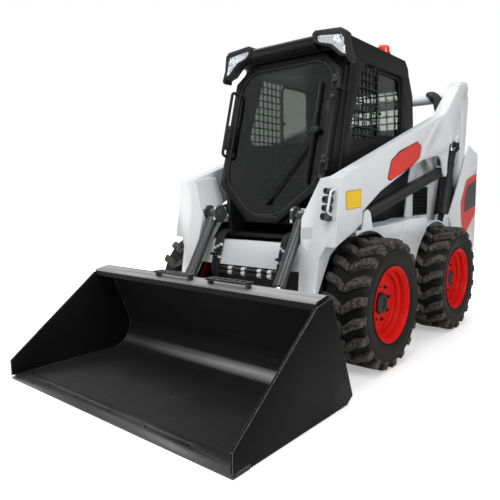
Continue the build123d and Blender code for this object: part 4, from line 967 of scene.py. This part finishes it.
def cylinder_details():
    """Glands, bands and end bosses round the cylinders."""
    tilt_x, lift_x, cheek = 360, 592.5, 54
    tilt_head = (-806, 898)
    # bands: from, to, inner and outer radius along the cylinder, with chamfered edges
    for name, x, head, foot, bands, finish, node in (
        ("tilt_glands", tilt_x, tilt_head, (-1112, 385),
         ((408, 444, 22, 37.5), (60, 78, 30, 37)), "cylinder", "tilt_barrels"),
        ("lift_glands", lift_x, (760, 815), (925, 1450),
         ((500, 545, 24, 42.5), (440, 452, 35, 42.5), (110, 124, 35, 42.5)), "plastic",
         "lift_barrels"),
    ):
        start = spot(x, *head)
        axis = unit(spot(x, *foot) - start)
        rings = [lathe([(first, inner), (first, outer - 1), (first + 1, outer), (last - 1, outer),
                        (last, outer - 1), (last, inner)], start, axis, 32)
                 for first, last, inner, outer in bands]
        make(name, mirrored(joined(*rings)), finish, node)
    boss = [(-17, 0), (-17, 52), (-14, 55), (1, 55), (4, 52), (4, 28), (9, 26), (11, 17), (11, 0)]
    ends = [lathe(boss, spot(tilt_x + side * cheek, *tilt_head), (side, 0, 0), 32)
            for side in (-1, 1)]
    make("tilt_pin_heads", mirrored(joined(*ends)), "cylinder", "lift_arms")


def hose_details():
    """Hoses clamped down the front cross plate, and the sleeve round the rear cross tube."""
    falls, fall_bands, lines, line_bands = [], [], [], []
    for k, x in enumerate((246, 268, 290)):
        path = at([(x, -775, 790), (x, -826, 775), (x, -858, 730), (x, -899, 590),
                   (x, -900, 500 + 8 * k), (x, -860, 470 + 8 * k)])
        falls.append(mirrored(tube(bent(path, 0.028), 0.0105, 10, up=(1, 0, 0))))
        axis = unit(path[3] - path[2])
        for start in (18 + 12 * k, 100 - 10 * k):
            band = lathe(collar(start, start + 16, 9, 11.8), path[2], axis, 12)
            fall_bands.append(mirrored(band))
    for z, y in ((566, -895), (540, -897)):
        path = at([(-235, y, z), (0, y - 3, z - 4), (235, y, z)])
        lines.append(tube(path, 0.01, 10))
        line_bands += [lathe(collar(0, 30, 8, 15), spot(x, y - 1, z - 2), (1, 0, 0), 6)
                       for x in (-150, -40, 90, 170)]
    clamp = mirrored(bar(*at([(236, -912, 640), (302, -880, 654)])))
    make("front_hoses", joined(*falls, *lines, clamp), "hose", "lift_arms")
    make("hose_bands", joined(*fall_bands, *line_bands), "label", "lift_arms")
    sleeve = bent(at([(396, 893, 1808), (440, 858, 1796), (496, 850, 1740),
                      (522, 822, 1660), (528, 760, 1590)]), 0.03)
    swell = np.interp(np.linspace(0, 1, len(sleeve)), [0, 0.3, 0.7, 1], [0.6, 1.0, 1.0, 0.7])
    make("rear_sleeve", mirrored(sweep(sleeve, ring(0.04, 16), (1, 0, 0), scale=swell)),
         "hose", "lift_arms")
    face, lip, hexagon = 627, 4, 20  # unions wider than the last have six sides
    unions = [lathe([(0, 0), (0, radius), (10, radius), (11, radius - lip), (17, radius - lip),
                     (17, 0)], spot(face, y, z), (1, 0, 0), 6 if radius > hexagon else 16)
              for y, z, radius in ((892, 1396, 24), (938, 1408, 19), (905, 1352, 18),
                                   (952, 1372, 15))]
    links = [tube(bent(at(path), 0.01), 0.007, 8, up=(1, 0, 0)) for path in (
        [(632, 892, 1396), (636, 925, 1380), (632, 905, 1352)],
        [(632, 938, 1408), (636, 962, 1395), (632, 952, 1372)])]
    make("tower_unions", mirrored(joined(*unions, *links)), "hose", "lift_arms")


def plate_details():
    """Blank plates: a red one on each arm, a yellow one on each elbow, a pale label on the
    leg and the red and grey panel on each upright. Each stands on an edge that grows past
    it all round."""
    thick, inset = 0.0012, 0.001
    for name, outline, radius, finish, node, edge, grow in (
        ("arm_plates", [(-294, 1118), (-243, 1229), (-132, 1284), (129, 1365), (198, 1337),
                        (169, 1261), (41, 1202), (-252, 1106)], 12, "badge", "lift_arms",
         "plastic", 0.011),
        ("elbow_plates", [(-790, 1036), (-632, 1050), (-628, 950), (-788, 938)], 8,
         "yellow", "lift_arms", "plastic", 0.004),
        ("upright_panels", [(1425, 1190), (1165, 1125), (1040, 940), (1062, 800),
                            (1120, 640), (1150, 620), (1260, 720), (1425, 830)], 14,
         "badge", "uprights", "label", 0.012),
    ):
        points = side_points(bent(outline, radius, closed=True, steps=4))
        wide = points + grow * unit(points - points.mean(0))
        make(name + "_edge", mirrored(side_plate(wide, SIDE_FACE, thick / 2)), edge, node)
        make(name, mirrored(side_plate(points, SIDE_FACE, thick)), finish, node)
    panel = bent([(1420, 1130), (1200, 1075), (1130, 960), (1140, 850), (1420, 905)], 12,
                 closed=True, steps=4)
    make("upright_insets", mirrored(side_plate(side_points(panel), SIDE_FACE + inset, thick)),
         "cylinder", "uprights")
    # the leg's face slopes back by 75 mm over the 410 mm below 890 mm
    label = at([(x, -875 - (890 - z) * 75 / 410, z)
                for x, z in ((412, 775), (484, 783), (484, 846), (412, 838))])
    make("leg_label", plate(label, (0, -thick, 0)), "label", "lift_arms")


class FrontOperator(bpy.types.Operator):
    """Couplers, hoses, cylinder glands and the plain plates of the arms"""

    bl_idname = "loader.front"
    bl_label = "Arm details"

    def execute(self, context):
        coupler_details()
        cylinder_details()
        hose_details()
        plate_details()
        return {"FINISHED"}


class RearOperator(bpy.types.Operator):
    """Bucket welds and lip, tail reflectors, gate latch and the engine bay's baffles"""

    bl_idname = "loader.rear"
    bl_label = "Rear and bucket details"

    def execute(self, context):
        reach, edge, cheek = 40, -1792, 849
        seams = [tube(at([(x - reach, edge, 16), (x, edge, 16.6), (x + reach, edge, 16)]), 0.002, 6)
                 for x in (-437, -170, 109, 396, 658)]
        ends = [tube(at([(side * cheek, y, 19) for y in (-1840, -1600, -1310)]), 0.004, 6)
                for side in (-1, 1)]
        make("bucket_welds", joined(*seams, *ends), "edge_steel", "bucket_shell")
        make("bucket_lip", bar(*at([(-850, -1390, 520), (850, -1384, 556)])), "bucket",
             "bucket_shell", edge=0.002)
        lamps = [bar(*at([(511, 1436, z), (609, 1437.6, z + 40)])) for z in (1136, 1244)]
        make("tail_reflectors", mirrored(joined(*lamps)), "label", "tail_lamps")
        latch = [bar(*at([(-46, 1434, 575), (46, 1438, 615)])),
                 bar(*at([(-30, 1430, 540), (30, 1437, 575)]))]
        make("gate_latch", joined(*latch), "plastic", "tailgate", edge=0.001)
        # finned baffles close the engine bay behind the side screens
        fins = [bar(*at([(462, y, 846), (474, y + 5, 1074)])) for y in range(412, 708, 14)]
        sheet = bar(*at([(458, 408, 844), (462, 712, 1076)]))
        make("bay_baffles", mirrored(joined(sheet, *fins)), "black", "side_screens")
        return {"FINISHED"}


OPERATORS = (StageOperator, FrameOperator, TyreOperator, RimOperator, CabOperator,
             FrontOperator, RearOperator)


class LoaderPanel(bpy.types.Panel):
    """Lists the loader's pieces, sizes and colours"""

    bl_idname = "VIEW3D_PT_loader"
    bl_label = "Skid Steer Loader"
    bl_space_type = "VIEW_3D"
    bl_region_type = "UI"
    bl_category = "Loader"

    def draw(self, context):
        layout = self.layout
        for group in (context.scene.loader_sizes, context.scene.loader_colours):
            box = layout.box()
            for name in group.__annotations__:
                box.prop(group, name)
        for operator in OPERATORS:
            layout.operator(operator.bl_idname)


CLASSES = (LoaderSizes, LoaderColours, *OPERATORS, LoaderPanel)


def register():
    """Registers the classes and gives the scene its sizes and colours."""
    for item in CLASSES:
        bpy.utils.register_class(item)
    bpy.types.Scene.loader_sizes = PointerProperty(type=LoaderSizes)
    bpy.types.Scene.loader_colours = PointerProperty(type=LoaderColours)


def unregister():
    """Takes away what register added."""
    del bpy.types.Scene.loader_colours
    del bpy.types.Scene.loader_sizes
    for item in reversed(CLASSES):
        bpy.utils.unregister_class(item)


def main():
    """Registers the add-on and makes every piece."""
    register()
    for operator in OPERATORS:
        section, name = operator.bl_idname.split(".")
        getattr(getattr(bpy.ops, section), name)()


if __name__ == "__main__":
    main()
